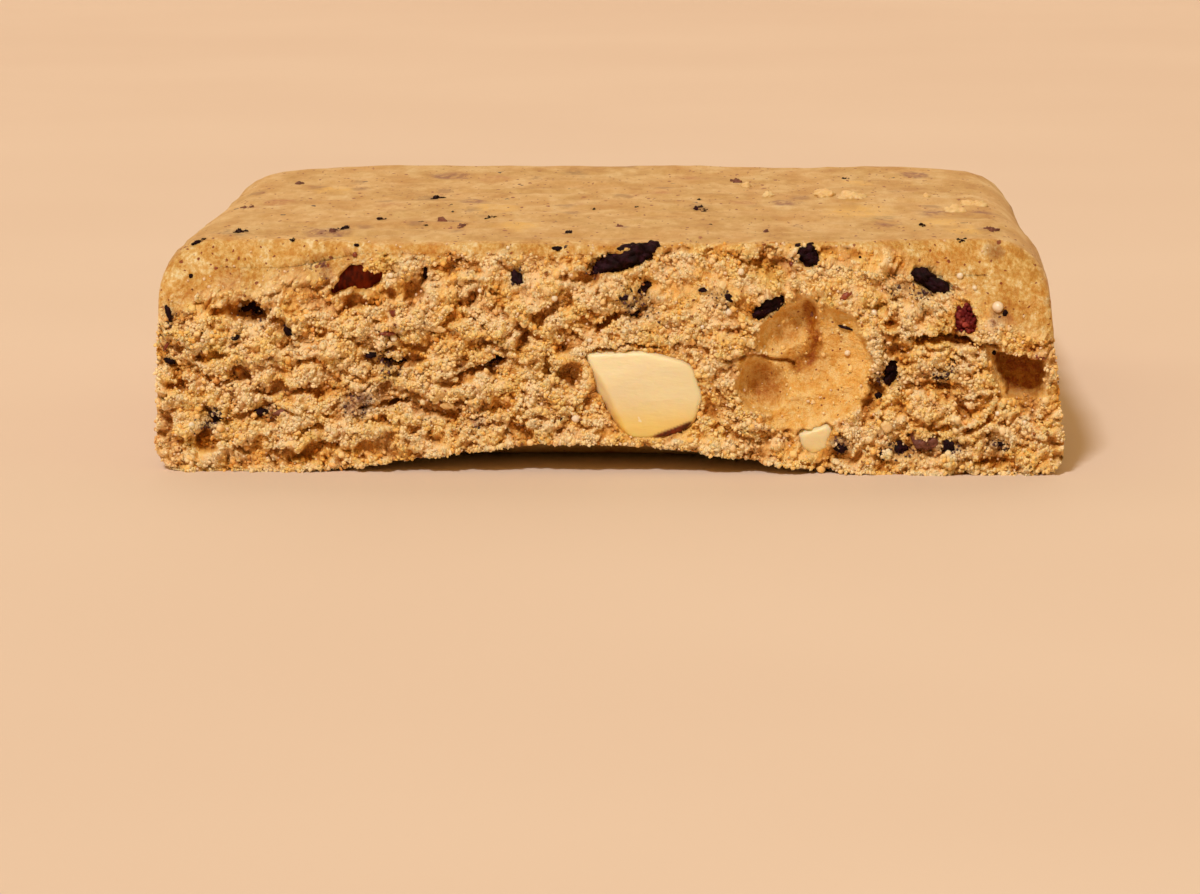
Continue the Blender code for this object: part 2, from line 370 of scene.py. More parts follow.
RED_BITS = (
    (-10.45, 7.75, 0.3, 0.17, -10), (-21.6, 6.2, 0.08, 0.28, -30), (11.5, 8.75, 0.34, 0.14, 35),
    (8.9, 10.3, 0.2, 0.13, 0), (-12.4, 10.75, 0.13, 0.12, 0), (-10.8, 6.9, 0.4, 0.10, 0),
    (4.2, 7.2, 0.07, 0.10, 0), (20.9, 5.85, 0.3, 0.10, -10), (-19.2, 9.9, 0.09, 0.08, 0),
)
PALE_BITS = (
    (-8.35, 7.1, 0.46, 0.17, -8), (-7.45, 6.8, 0.4, 0.2, -15), (13.5, 2.35, 0.24, 0.3, 20),
    (-10.2, 10.1, 0.3, 0.35, 0), (4.3, 7.55, 0.22, 0.2, 0), (-3.0, 9.0, 0.2, 0.2, 0),
    (-7.9, 3.3, 0.35, 0.2, 0), (5.5, 9.3, 0.2, 0.2, 30),
)
# Clear round grains, as (x, z, radius).
PEARLS = (
    (-10.44, 6.64, 0.17), (-10.1, 7.08, 0.12), (-6.27, 9.04, 0.12), (-2.65, 8.65, 0.15),
    (-1.62, 2.72, 0.19), (-4.9, 10.9, 0.10), (4.5, 7.2, 0.12), (5.8, 7.97, 0.17),
    (17.06, 9.6, 0.17), (18.9, 8.16, 0.27), (17.8, 9.04, 0.12), (-10.64, 9.68, 0.14),
    (-18.1, 8.1, 0.12), (12.9, 7.9, 0.15), (11.6, 5.9, 0.14), (18.9, 3.0, 0.13),
    (-20.3, 2.3, 0.15), (6.4, 9.9, 0.16), (-0.9, 6.5, 0.12), (20.2, 2.6, 0.12),
)
# Marks on the top, as (x, y, half length across, half length along the bar, tilt).
TOP_DARK = (
    (-18.7, -18.1, 0.28, 0.8, -20), (-20.0, -20.7, 0.18, 0.8, -30), (-13.4, -17.3, 0.26, 0.8, -20),
    (-15.6, -21.1, 0.12, 0.4, 0), (-10.1, 1.3, 0.45, 0.8, 0), (-11.8, -11.4, 0.28, 0.5, 0),
    (-9.8, -13.0, 0.12, 0.3, 0), (-9.5, -14.0, 0.16, 0.35, 0), (-6.5, -10.4, 0.22, 0.6, -20),
    (-2.3, -18.1, 0.16, 0.5, 0), (-0.3, -15.5, 0.08, 0.25, 0), (4.3, -4.8, 0.34, 0.9, 20),
    (4.3, -0.1, 0.14, 0.4, 0), (0.8, -3.5, 0.12, 0.4, 0), (15.6, -14.0, 0.16, 0.4, 0),
    (17.1, -20.7, 0.22, 0.45, 0), (-8.7, -3.9, 0.09, 0.3, 0), (-8.4, -7.5, 0.09, 0.3, 0),
    (4.7, -13.4, 0.09, 0.3, 0), (-1.2, -4.9, 0.14, 0.3, 0), (12.0, 14.0, 0.2, 0.6, 0),
)
TOP_STAINED = (
    (-8.5, -11.9, 0.5, 0.7, -30), (7.5, -16.5, 0.38, 0.4, 0), (18.8, -16.2, 0.32, 0.9, 10),
    (0.4, -15.2, 0.18, 0.5, 0), (-7.7, -14.6, 0.2, 0.7, -10), (-19.3, -5.1, 0.25, 0.8, 0),
    (-14.1, -18.2, 0.35, 0.9, -25), (-18.0, 9.0, 0.3, 0.8, 0), (6.0, 12.0, 0.3, 0.7, 0),
)
TOP_PALE = (
    (10.9, 2.4, 0.55, 0.9, 0), (12.3, 0.6, 0.75, 1.0, 10), (18.6, -2.7, 0.5, 1.1, 20),
    (17.4, -5.6, 0.55, 0.7, -20), (7.8, 2.4, 0.28, 0.5, 0), (6.5, 9.2, 0.26, 0.6, 0),
    (16.2, 1.7, 0.2, 0.5, 0),
)
# The skin was pressed along the bar, so its marks are longer that way. They are drawn at places
# that are squeezed along the bar by this much.
LENGTHWISE = 0.4
# Smudges in the skin of the top, as (x, y, size), and how strong they are.
SMUDGE_STRENGTH = 1.7
TOP_SMUDGES = dict(
    purple=((-14.1, -18.2, 1.4), (18.8, -16.2, 0.9), (8.8, -1.1, 1.1), (16.2, -6.5, 1.1),
            (13.9, -13.8, 0.8), (-7.7, -1.6, 1.2), (16.0, 16.3, 1.1), (-10.0, 14.7, 1.3),
            (18.8, -6.7, 0.8), (0.4, -15.2, 0.6)),
    dark=((-18.7, -18.4, 0.9), (-20.0, -20.7, 0.6), (-8.5, -11.9, 0.9), (4.3, -3.4, 0.9),
          (-10.1, 1.3, 1.1), (13.5, -9.5, 0.9), (-3.0, 17.0, 1.0)),
    red=((-19.3, -5.1, 0.8), (-7.3, 13.2, 1.1), (-7.7, -14.6, 0.7), (0.6, 3.5, 0.8),
         (1.9, 4.5, 1.0), (3.5, 14.4, 1.2), (6.4, -1.2, 0.8), (15.2, 5.8, 0.8),
         (-17.9, -1.6, 1.3), (-12.2, -3.2, 0.9), (-2.2, -2.0, 0.6), (-18.6, -22.0, 0.9)),
    yellow=((-15.8, 5.4, 1.4), (16.5, -12.4, 1.5), (17.5, -16.3, 1.2), (12.8, 10.8, 1.1),
            (-12.7, -20.8, 1.1), (-6.6, -5.4, 1.8), (-4.9, -15.1, 1.6), (12.4, -6.3, 2.4)),
)
# Balls of loose crumb that hang at the lower edge, as (x, z, radius).
LOOSE_BALLS = ((16.5, 0.75, 0.40), (-3.1, 1.7, 0.24), (13.6, 0.9, 0.22), (5.2, 1.3, 0.25))


def facet_planes(piece):
    """The facets as planes: the direction each one faces, and how far out it lies."""
    planes = []
    for azimuth, elevation, distance in piece.get("facets", ()):
        a, e = math.radians(azimuth), math.radians(elevation)
        normal = (math.cos(a) * math.cos(e), -math.sin(e), math.sin(a) * math.cos(e))
        planes.append((np.array(normal), distance))
    return planes


def faceted_radius(piece, directions):
    """The distance to the surface of a faceted lump, and the share of each facet in it."""
    turn = np.array(Matrix.Rotation(math.radians(piece["tilt"]), 3, "Y"))
    local = directions @ turn.T / np.array(piece["radii"])
    power = piece.get("edge", 8)
    total = np.linalg.norm(local, axis=1) ** power
    facets = []
    for normal, distance in facet_planes(piece):
        facets.append(np.clip(directions @ normal / distance, 0, None) ** power)
        total = total + facets[-1]
    return total ** (-1 / power), [facet / total for facet in facets]


def outline_ratio(piece, x, z):
    """Distance from a piece's middle over its outline's distance that way, seen from the front."""
    shape = np.shape(x)
    dx, dz = np.ravel(x) - piece["middle"][0], np.ravel(z) - piece["middle"][1]
    reach = np.maximum(np.hypot(dx, dz), 1e-6)
    directions = np.stack([dx / reach, np.zeros_like(dx), dz / reach], axis=-1)
    return (reach / faceted_radius(piece, directions)[0]).reshape(shape)


# ---------------------------------------------------------------- the map of the broken face

# The broken face is worked out on a flat map, x across and z up, and read off at any point.
MAP_STEP = 0.05
MAP_X = np.arange(-23.5, 23.5, MAP_STEP)
MAP_Z = np.arange(-1.0, 12.8, MAP_STEP)

# Hollows and mounds of the crumb: middle (x, z), half length, half height, tilt, and how deep or
# high. The hollows are dug to a share of their depth.
DUG_SHARE = 0.9
HOLLOWS = (
    (-18.1, 7.8, 1.3, 0.40, 0, 0.8), (-17.5, 7.8, 0.6, 0.45, 0, 0.9),
    (-16.0, 7.0, 0.7, 0.30, -20, 0.6), (-15.1, 8.1, 1.5, 0.35, 0, 0.4),
    (-19.5, 5.65, 0.7, 0.30, 10, 0.7), (-21.0, 4.3, 0.5, 0.30, 0, 0.6),
    (-18.2, 4.7, 0.5, 0.35, 0, 0.5), (-16.0, 4.0, 1.3, 0.35, -8, 0.7),
    (-14.3, 4.1, 0.9, 0.30, 5, 0.6), (-11.1, 5.4, 0.9, 0.30, -10, 0.6),
    (-10.4, 3.3, 0.8, 0.16, 12, 1.0), (-19.6, 2.7, 0.5, 0.50, -30, 0.7),
    (-19.6, 1.45, 0.45, 0.45, 0, 0.7), (-14.2, 1.2, 1.0, 0.25, 10, 0.5),
    (-11.9, 8.4, 1.5, 0.30, 15, 0.6), (-9.5, 8.9, 0.3, 0.45, 0, 0.6),
    (-7.2, 10.2, 1.1, 0.40, 5, 0.6), (-9.0, 9.6, 0.2, 0.45, 0, 0.8),
    (-6.9, 8.5, 0.6, 0.25, 15, 0.6), (-2.9, 8.0, 1.0, 0.35, 25, 0.6),
    (-4.3, 6.7, 0.35, 0.65, 10, 0.7), (-1.9, 6.4, 0.8, 0.30, 25, 0.7),
    (-0.1, 7.4, 0.7, 0.35, 25, 1.2), (-5.6, 5.3, 0.6, 0.30, 15, 0.7),
    (-7.0, 4.7, 1.3, 0.20, 15, 0.8), (-1.8, 4.9, 0.5, 0.45, 0, 0.9),
    (-3.0, 5.1, 0.3, 0.50, 0, 0.5), (-9.7, 5.5, 0.7, 0.20, -5, 0.6),
    (-8.5, 3.1, 1.1, 0.35, -8, 0.6), (-4.5, 1.9, 0.5, 0.65, 0, 0.6),
    (-1.0, 3.7, 0.3, 0.55, -20, 0.6), (-5.5, 3.4, 0.8, 0.25, 15, 0.5),
    (7.4, 10.2, 0.9, 0.50, 10, 0.6), (11.1, 10.8, 0.9, 0.35, 0, 0.6),
    (6.1, 7.1, 0.7, 0.18, 15, 0.5), (12.9, 3.7, 0.5, 0.90, -10, 0.8),
    (14.2, 5.8, 0.7, 0.30, -20, 0.6), (16.5, 6.6, 1.6, 0.17, -3, 1.2),
    (15.8, 4.2, 0.9, 0.35, 0, 0.5), (14.0, 7.6, 0.5, 0.35, 0, 0.5),
    (4.9, 3.2, 0.35, 0.45, 0, 0.7), (17.3, 3.1, 0.5, 0.30, 0, 0.6),
    (18.8, 0.7, 0.8, 0.30, 0, 0.6), (18.0, 2.4, 1.0, 0.22, 30, 0.6),
    (2.2, 8.0, 1.3, 0.25, 10, 0.3), (-21.9, 7.0, 0.3, 0.35, 0, 0.4),
)
MOUNDS = (
    (-20.4, 2.5, 0.8, 0.65, 0, 0.45), (-21.3, 3.4, 1.1, 0.35, 5, 0.35),
    (-17.4, 5.9, 1.0, 0.50, 0, 0.35), (-20.5, 6.7, 1.1, 0.50, 0, 0.35),
    (-13.0, 6.6, 1.3, 0.60, 30, 0.40), (-10.0, 7.4, 1.2, 0.50, 20, 0.40),
    (-16.5, 1.6, 1.5, 0.50, 0, 0.30), (-12.0, 1.9, 1.3, 0.50, 10, 0.30),
    (-6.0, 7.2, 1.4, 0.50, 10, 0.35), (-3.9, 9.3, 1.5, 0.60, 0, 0.30),
    (-2.6, 7.1, 0.8, 0.40, 20, 0.35), (-3.4, 2.4, 0.7, 0.80, 0, 0.40),
    (-7.0, 3.9, 1.2, 0.45, 10, 0.40), (10.2, 9.4, 1.4, 0.65, 5, 0.45),
    (12.6, 6.1, 0.7, 0.95, 0, 0.50), (15.2, 7.9, 0.9, 0.55, 0, 0.40),
    (7.7, 6.9, 0.7, 0.50, 45, 0.40), (4.6, 8.2, 1.8, 0.90, 0, 0.25),
    (16.2, 3.0, 1.1, 0.50, 0, 0.30), (11.6, 3.2, 0.6, 0.50, 0, 0.35),
    (20.5, 2.0, 1.0, 0.60, 0, 0.25), (18.9, 7.2, 1.0, 0.45, -10, 0.30),
)

# Parts where the crumb is flatter and has less painted shade: middle (x, z) and size.
CALM_PARTS = (
    (4.3, 8.6, 4.2), (-20.6, 3.0, 1.5), (11.0, 9.4, 3.2), (19.8, 7.3, 2.0), (-4.0, 9.6, 2.2),
)

# Smooth bowls that a nut has left in the paste, as (x, z, half length, half height, tilt,
# depth, how much deeper it gets to the right, and upwards), and the creases between them, as
# (points, half width, depth).
BOWLS = (
    (7.65, 4.45, 1.5, 1.5, 0, 1.45, -0.25, -0.3),
    (8.75, 7.0, 2.0, 1.2, 50, 1.1, 0.25, 0.0),
    (11.2, 6.1, 2.2, 1.45, -70, 0.75, -0.3, 0.1),
    (9.6, 5.3, 2.2, 1.7, 0, 1.0, 0.0, 0.0),
    (10.2, 3.6, 2.7, 1.25, 20, 0.4, -0.4, 0.0),
)
CREASES = (
    (((9.75, 8.1), (9.9, 7.1), (10.15, 6.2), (9.9, 5.6), (9.2, 5.2)), 0.38, 0.22),
    (((6.5, 5.8), (7.2, 5.65), (8.2, 5.6), (9.1, 5.2)), 0.09, 0.35),
    (((15.0, 6.5), (16.4, 6.85), (17.7, 6.5), (18.8, 6.2)), 0.13, 0.9),
    (((-11.0, 3.2), (-10.2, 3.5), (-9.8, 3.55)), 0.10, 0.8),
    (((-8.1, 4.6), (-6.8, 4.9), (-6.0, 5.3), (-5.3, 5.75)), 0.10, 0.6),
    (((-1.05, 6.0), (0.6, 6.25), (1.6, 6.32), (2.5, 6.2)), 0.06, 0.6),
    (((2.2, 1.75), (3.4, 1.95), (4.3, 2.6)), 0.07, 0.5),
)

# Outlines of the deep hollows and of the wall beside one, and how deep they go.
SIDE_POCKET = ((18.6, 6.05), (21.3, 5.75), (21.35, 3.85), (19.3, 3.75))
SIDE_WALL = ((18.2, 6.4), (19.0, 6.1), (19.6, 3.9), (19.1, 3.8))
TOP_POCKET = (
    (-13.95, 8.7), (-13.3, 9.4), (-12.95, 9.95), (-12.5, 10.3), (-12.1, 10.15), (-11.9, 9.9),
    (-11.5, 9.75), (-10.95, 9.6), (-11.1, 9.25), (-11.8, 8.95), (-12.8, 8.75), (-13.4, 8.6),
)
SIDE_POCKET_DEPTH, SIDE_WALL_DEPTH, TOP_POCKET_DEPTH = 2.4, 0.5, 1.9

# Colours that have soaked into the broken face: middle (x, z) and size.
STAINS = dict(
    purple=((-0.5, 9.9, 1.1), (-12.2, 3.4, 1.4), (11.4, 1.4, 0.8), (15.4, 1.4, 1.3),
            (17.4, 7.1, 0.9), (-16.4, 2.9, 0.9), (9.9, 7.4, 0.5), (-13.9, 10.1, 0.9),
            (18.9, 7.6, 0.7), (-6.5, 2.6, 0.8)),
    dark=((-19.3, 2.6, 1.3), (-17.3, 7.6, 0.9), (-10.7, 5.3, 1.5), (1.3, 8.4, 1.6),
          (13.6, 4.7, 1.1), (9.6, 10.6, 0.9), (15.4, 8.8, 1.2), (-4.4, 9.5, 0.7),
          (-5.6, 5.3, 0.7), (-15.7, 6.9, 0.7), (14.3, 1.2, 1.1), (16.6, 1.3, 1.0),
          (16.2, 4.8, 0.9), (11.3, 1.3, 0.9), (5.3, 8.7, 1.1), (7.6, 7.9, 0.8),
          (-11.8, 3.2, 0.8), (19.0, 1.5, 0.9), (-21.4, 7.6, 0.6), (14.0, 9.1, 0.7)),
    red=((-18.5, 9.4, 1.2), (20.8, 5.9, 1.0), (-10.9, 7.0, 0.7), (-8.9, 10.2, 0.6),
         (8.8, 10.3, 0.8), (-12.4, 10.7, 0.5), (19.4, 7.4, 0.9), (16.0, 3.6, 0.8),
         (-21.5, 3.0, 0.6), (3.8, 9.3, 0.9)),
    yellow=((7.8, 9.6, 1.5), (-10.6, 10.3, 0.9), (-19.2, 5.8, 0.9), (12.8, 8.4, 1.2),
            (10.8, 8.5, 0.9), (-3.0, 5.0, 1.1), (-7.7, 6.0, 1.0), (-21.0, 3.6, 0.6),
            (15.8, 6.9, 1.1), (-14.4, 1.8, 1.2)),
)


def inside_oval(x, z, middle, radii, tilt):
    """1 at the middle of a tilted oval and 0 at its edge, negative outside."""
    turn = math.radians(tilt)
    dx, dz = x - middle[0], z - middle[1]
    along = (dx * math.cos(turn) + dz * math.sin(turn)) / radii[0]
    across = (dz * math.cos(turn) - dx * math.sin(turn)) / radii[1]
    return 1 - along**2 - across**2


def distance_to_line(x, z, points):
    """Distance to the nearest place on a line through the points."""
    nearest = np.full(np.shape(x), 1e3)
    for (ax, az), (bx, bz) in zip(points, points[1:]):
        length = (bx - ax) ** 2 + (bz - az) ** 2
        t = np.clip(((x - ax) * (bx - ax) + (z - az) * (bz - az)) / length, 0, 1)
        nearest = np.minimum(nearest, np.hypot(x - ax - t * (bx - ax), z - az - t * (bz - az)))
    return nearest


def inside_outline(x, z, corners):
    """Distance to a closed outline, positive inside it and negative outside."""
    ring = corners + corners[:1]
    inside = np.zeros(np.shape(x), bool)
    for (ax, az), (bx, bz) in zip(ring, ring[1:]):
        if az != bz:
            crosses = (az > z) != (bz > z)
            inside ^= crosses & (x < ax + (z - az) * (bx - ax) / (bz - az))
    return np.where(inside, 1, -1) * distance_to_line(x, z, ring)


def shaken(x, z, size, reach, seed):
    """Places moved about by noise, which makes the edges of what is drawn on them ragged."""
    return x + reach * waves(x, z, size, seed), z + reach * waves(x, z, size, seed + 1)


def blurred(field, size):
    """A map averaged over a square of that many millimetres, twice."""
    half = max(1, round(size / MAP_STEP / 2))
    for axis in (0, 1, 0, 1):
        margins = [(0, 0), (0, 0)]
        margins[axis] = (half + 1, half)
        total = np.cumsum(np.pad(field, margins, mode="edge"), axis)
        count = field.shape[axis]
        upper = np.take(total, np.arange(count) + 2 * half + 1, axis)
        lower = np.take(total, np.arange(count), axis)
        field = (upper - lower) / (2 * half + 1)
    return field


def torn_layers(x, z):
    """Steps with ragged edges, from 0 at the deepest to 1."""
    height = fractal(x / 1.5, z - 0.12 * x, 1.5, 3, 5, 0.72)
    low = 0.36 * smoothstep(-0.50, -0.30, height)
    middle = 0.36 * smoothstep(-0.10, 0.06, height)
    return low + middle + 0.28 * smoothstep(0.26, 0.42, height)


def crumb_height(x, z):
    """How far the crumb stands out from the plain face, in millimetres."""
    x, z = shaken(x, z, 1.1, 0.34, 31)
    x, z = shaken(x, z, 0.45, 0.16, 35)
    x, z = shaken(x, z, 0.2, 0.05, 39)
    layout = np.zeros(np.shape(x))
    for hx, hz, half_x, half_z, tilt, depth in HOLLOWS:
        oval = inside_oval(x, z, (hx, hz), (half_x, half_z), tilt)
        layout -= DUG_SHARE * depth * smoothstep(-0.6, 0.5, oval)
    for hx, hz, half_x, half_z, tilt, rise in MOUNDS:
        oval = inside_oval(x, z, (hx, hz), (half_x, half_z), tilt)
        layout += rise * smoothstep(-0.5, 0.5, oval)
    steps = 0.55 * torn_layers(x, z)
    pits = 0.30 * smoothstep(0.25, 0.70, fractal(x / 1.5, z, 0.9, 55, 3, 0.8))
    rough = 0.20 * fractal(x / 1.2, z, 0.9, 41, 4, 0.78)
    return (layout + steps + rough - pits - 0.2) * (1 - 0.8 * stain_field(x, z, CALM_PARTS))


def bowl_field(x, z):
    """The depth of the smooth bowls, and where their paste shows, 0 to 1."""
    depth, paste = np.zeros(np.shape(x)), np.zeros(np.shape(x))
    x, z = shaken(x, z, 1.0, 0.14, 61)
    x, z = shaken(x, z, 0.35, 0.05, 63)
    for bx, bz, half_x, half_z, tilt, deep, right, up in BOWLS:
        oval = inside_oval(x, z, (bx, bz), (half_x, half_z), tilt)
        lean = 1 + right * (x - bx) / half_x + up * (z - bz) / half_z
        depth = np.maximum(depth, deep * lean * np.clip(oval, 0, 1) ** 0.7)
        ragged = oval + 0.22 * fractal(x, z, 0.8, 65, 3, 0.7)
        paste = np.maximum(paste, smoothstep(-0.12, 0.20, ragged))
    return depth, paste


def stain_field(x, z, stains):
    """How strongly any of the stains colours a place, 0 to 1, with ragged edges."""
    x, z = shaken(*shaken(x, z, 0.8, 0.45, 101), 0.25, 0.2, 103)
    stain = np.zeros(np.shape(x))
    for sx, sz, size in stains:
        far = np.hypot(x - sx, (z - sz) * 1.4) / size
        stain = np.maximum(stain, smoothstep(1.0, 0.05, far))
    return stain


def open_pieces():
    """The pieces that lie in sockets of their own, rather than at the bottom of a pocket."""
    return [piece for piece in NUTS + FRUITS + (BEAD,) if "socket" in piece]


def bare_field(x, z):
    """1 where a nut, a fruit or a bit sits, so that no grain is put there."""
    bare = np.zeros(np.shape(x))
    for piece in open_pieces():
        edge = 0.95 if piece in NUTS else 0.88
        bare = np.maximum(bare, smoothstep(edge, edge - 0.1, outline_ratio(piece, x, z)))
    for bx, bz, half_x, half_z, tilt in DARK_BITS + STAINED_BITS + RED_BITS + PALE_BITS:
        oval = inside_oval(x, z, (bx, bz), (half_x, half_z), tilt)
        bare = np.maximum(bare, 0.6 * smoothstep(-0.3, 0.3, oval))
    return bare


def hollow_field(crumb):
    """How far a place lies inside a hollow of the crumb, 0 to 1, wide and narrow ones alike."""
    # This amount sets how much painted shade the colour gets there.
    wide = smoothstep(0.35, -0.65, crumb - blurred(crumb, 2.2))
    narrow = smoothstep(0.15, -0.30, crumb - blurred(crumb, 0.7))
    return np.clip(0.75 * wide + 0.45 * narrow - 0.14, 0, 1)


def with_sockets(crumb, hollow, x, z):
    """Draws the crumb up to the nuts, and sinks a socket behind each piece that has one."""
    for piece in open_pieces():
        ratio = outline_ratio(piece, x, z)
        if piece in NUTS:
            crumb = crumb + (0.12 - crumb) * 0.6 * smoothstep(1.35, 1.0, ratio)
        rim = piece.get("rim", 0.94)
        crumb = crumb - (piece["socket"] + crumb) * smoothstep(rim, rim - 0.08, ratio)
        # A ring of painted shade round the piece, in its socket.
        hollow = np.maximum(hollow, 0.5 * smoothstep(rim + 0.08, rim - 0.05, ratio))
    return crumb, hollow


def with_bowls(crumb, hollow, x, z):
    """Puts the smooth bowls into the crumb, and says where their paste shows."""
    depth, paste = bowl_field(x, z)
    bowl = -depth + 0.07 * fractal(x, z, 1.0, 81, 4, 0.65)
    crumb = crumb * (1 - paste) + bowl * paste
    # Painted shade in the paste, deeper where the bowl is deeper.
    hollow = hollow * (1 - paste) + 0.5 * smoothstep(0.2, 1.6, depth) * paste
    return crumb, hollow, paste


def with_creases(crumb, hollow, x, z):
    """Cuts the creases and cracks into the crumb and the bowls."""
    for points, half_width, deep in CREASES:
        cut = smoothstep(half_width * 1.6, 0, distance_to_line(x, z, points))
        crumb = crumb - deep * cut
        # Painted shade along the crease.
        hollow = np.maximum(hollow, 0.9 * cut)
    return crumb, hollow


def pocket_fields(x, z, rough_x, rough_z):
    """The smooth pocket with its wall, the wall alone, the top pocket, their floor and painted
    shade.
    """
    side = smoothstep(-0.05, 0.3, inside_outline(rough_x, rough_z, SIDE_POCKET))
    wall = smoothstep(-0.1, 0.1, inside_outline(x, z, SIDE_WALL)) * (1 - side)
    top = smoothstep(-0.02, 0.14, inside_outline(rough_x, rough_z, TOP_POCKET))
    sloping = np.clip((0.5 * (x - 18.6) + 6.05 - z) / 3.4, 0, 1)
    side_floor = SIDE_POCKET_DEPTH * (1 - 0.4 * sloping)
    floor = -(side_floor * side + SIDE_WALL_DEPTH * wall + TOP_POCKET_DEPTH * top)
    shade = np.maximum(side * (1 - 0.3 * sloping), top)
    return np.maximum(side, wall), wall, top, floor, shade


def face_map():
    """The map's fields: height of the crumb and its smooth parts, hollows, paste and stains."""
    x, z = np.meshgrid(MAP_X, MAP_Z)
    rough_x, rough_z = shaken(*shaken(x, z, 0.9, 0.16, 71), 0.3, 0.08, 73)
    crumb = crumb_height(x, z)
    hollow = hollow_field(crumb) * (1 - 0.6 * stain_field(x, z, CALM_PARTS))
    clustered = smoothstep(-0.25, 0.2, fractal(rough_x, rough_z, 0.6, 58, 3, 0.8))
    crumb, hollow = with_sockets(crumb + 0.10 * clustered, hollow, rough_x, rough_z)
    crumb, hollow, paste = with_bowls(crumb, hollow, x, z)
    crumb, hollow = with_creases(crumb, hollow, rough_x, rough_z)
    side_and_wall, wall, top, floor, shade = pocket_fields(x, z, rough_x, rough_z)
    pocket = np.maximum(side_and_wall, top)
    paste = np.maximum(paste, side_and_wall)
    # The pockets' painted shade joins that of the hollows.
    hollow = np.maximum(hollow * (1 - wall), shade)
    smooth = 0.12 * waves(x, z, 1.5, 94) + 0.08 * fractal(x, z, 0.7, 91, 4, 0.75)
    return dict(
        crumb=crumb, smooth=smooth, pocket=pocket, floor=floor, hollow=hollow, paste=paste,
        bare=np.maximum(bare_field(x, z), pocket), clustered=clustered,
        **{kind: stain_field(x, z, STAINS[kind]) for kind in STAINS},
    )


def read_map(field, x, z):
    """A map's value at places, straight between its own points."""
    u = np.clip((x - MAP_X[0]) / MAP_STEP, 0, len(MAP_X) - 1.001)
    v = np.clip((z - MAP_Z[0]) / MAP_STEP, 0, len(MAP_Z) - 1.001)
    i, j = u.astype(int), v.astype(int)
    du, dv = u - i, v - j
    low = field[j, i] * (1 - du) + field[j, i + 1] * du
    high = field[j + 1, i] * (1 - du) + field[j + 1, i + 1] * du
    return low * (1 - dv) + high * dv


# ---------------------------------------------------------------- the dough

# The face's relief fades out over this distance, and its points are shaken by GRIT.
FACE_FADE = 3.5
FACE_POINTS = (COLUMNS + 1) * (sum(ROW_STEPS) + 1)
GRIT = 0.020


def skin_relief(points):
    """The gentle waves and small dents of the moulded skin."""
    broad = 0.12 * swell(points, (6.0, 7.0, 6.0), 11)
    folds = 0.11 * swell(points, (6.0, 2.0, 6.0), 14)
    dimples = 0.05 * swell(points, (1.5, 1.9, 1.5), 12, octaves=2)
    return broad + folds + dimples


def crumb_share(points):
    """1 where the surface is broken crumb, 0 where it is smooth skin."""
    x, y, z = points.T
    ragged = 0.45 * swell(points, 1.1, 21) + 0.3 * swell(points, 0.45, 22)
    soft = 0.12 + 0.45 * smoothstep(-12.5, -14.5, x) + 0.25 * smoothstep(11, 15, x)
    below_edge = smoothstep(-1, 1, (skin_edge(x) + 0.9 * ragged - z) / soft)
    near_front = smoothstep(0.75, 0.45, y - FRONT - corner_roll(x, z) + ragged)
    return below_edge * near_front


def top_smudge(x, y, smudges):
    """How much a kind of smudge has soaked into the top, 0 to 1."""
    squeezed = [(sx, LENGTHWISE * sy, size) for sx, sy, size in smudges]
    return np.minimum(1.0, SMUDGE_STRENGTH * stain_field(x, LENGTHWISE * y, squeezed))


def body_normals(points, faces):
    """Which way each point of the plain body faces. All of the broken face faces the front."""
    plain = mesh_object("plain", points, faces)
    normals = vertex_normals(plain)
    bpy.data.objects.remove(plain)
    normals[:FACE_POINTS] = (0, -1, 0)
    return normals


def dough_shape(fields, points, normals):
    """The body's points moved to the relief of crumb and skin, and the share of crumb at each."""
    x, y, z = points.T
    back = y - FRONT - corner_roll(x, z)
    near = back < FACE_FADE
    share = np.zeros(len(points))
    share[near] = crumb_share(points[near])
    relief = read_map(fields["crumb"], x, z) * share
    relief += read_map(fields["smooth"], x, z) * (1 - share) * near
    relief = relief * (1 - read_map(fields["pocket"], x, z)) + read_map(fields["floor"], x, z)
    forward = relief * (1 - smoothstep(0, FACE_FADE, back))
    on_base = smoothstep(-0.75, -0.95, normals[:, 2])
    rise = skin_relief(points) * (1 - share) * (1 - on_base)
    moved = points + normals * rise[:, None] - np.array([0, 1, 0]) * forward[:, None]
    grit = np.random.default_rng(17).normal(scale=GRIT, size=(FACE_POINTS, 3))
    gritty = share * (1 - read_map(fields["paste"], x, z))
    moved[:FACE_POINTS] += grit * gritty[:FACE_POINTS, None]
    return moved, share


def dough_marks(fields, points, share):
    """What is at each point of the dough: crumb, hollow, stains and so on, each 0 to 1."""
    x, y, z = points.T
    back = y - FRONT - corner_roll(x, z)
    on_face = (back < FACE_FADE) * (1 - smoothstep(0.5, 2.5, back))
    here = {key: read_map(field, x, z) * on_face for key, field in fields.items()}
    here["crumb"] = share * (1 - here["paste"])
    here["hollow"] *= np.maximum(share, np.maximum(here["paste"], here["pocket"]))
    here["face"] = on_face
    on_top = (1 - on_face) * (z > HEIGHT - TOP_RADIUS)
    for kind in STAINS:
        here[kind] += top_smudge(x, y, TOP_SMUDGES[kind]) * on_top
    return here


def build_dough(fields):
    """The visible dough, and what is at each of its vertices."""
    points, faces = plain_body()
    moved, share = dough_shape(fields, points, body_normals(points, faces))
    here = dough_marks(fields, points, share)
    dough = mesh_object("dough", moved, faces)
    # The look's second channel is how much painted shade the colour gets.
    paint(dough, "look", here["crumb"], here["hollow"], here["paste"], here["face"])
    paint(dough, "stains", *(here[kind] for kind in STAINS))
    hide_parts("bar_dough")
    return dough, here


# ---------------------------------------------------------------- nuts and fruit


def unit_sphere(detail):
    """Points and triangles of a ball with a radius of 1."""
    bm = bmesh.new()
    bmesh.ops.create_icosphere(bm, subdivisions=detail, radius=1.0)
    points = np.array([v.co for v in bm.verts])
    faces = np.array([tuple(v.index for v in f.verts) for f in bm.faces])
    bm.free()
    return points, faces


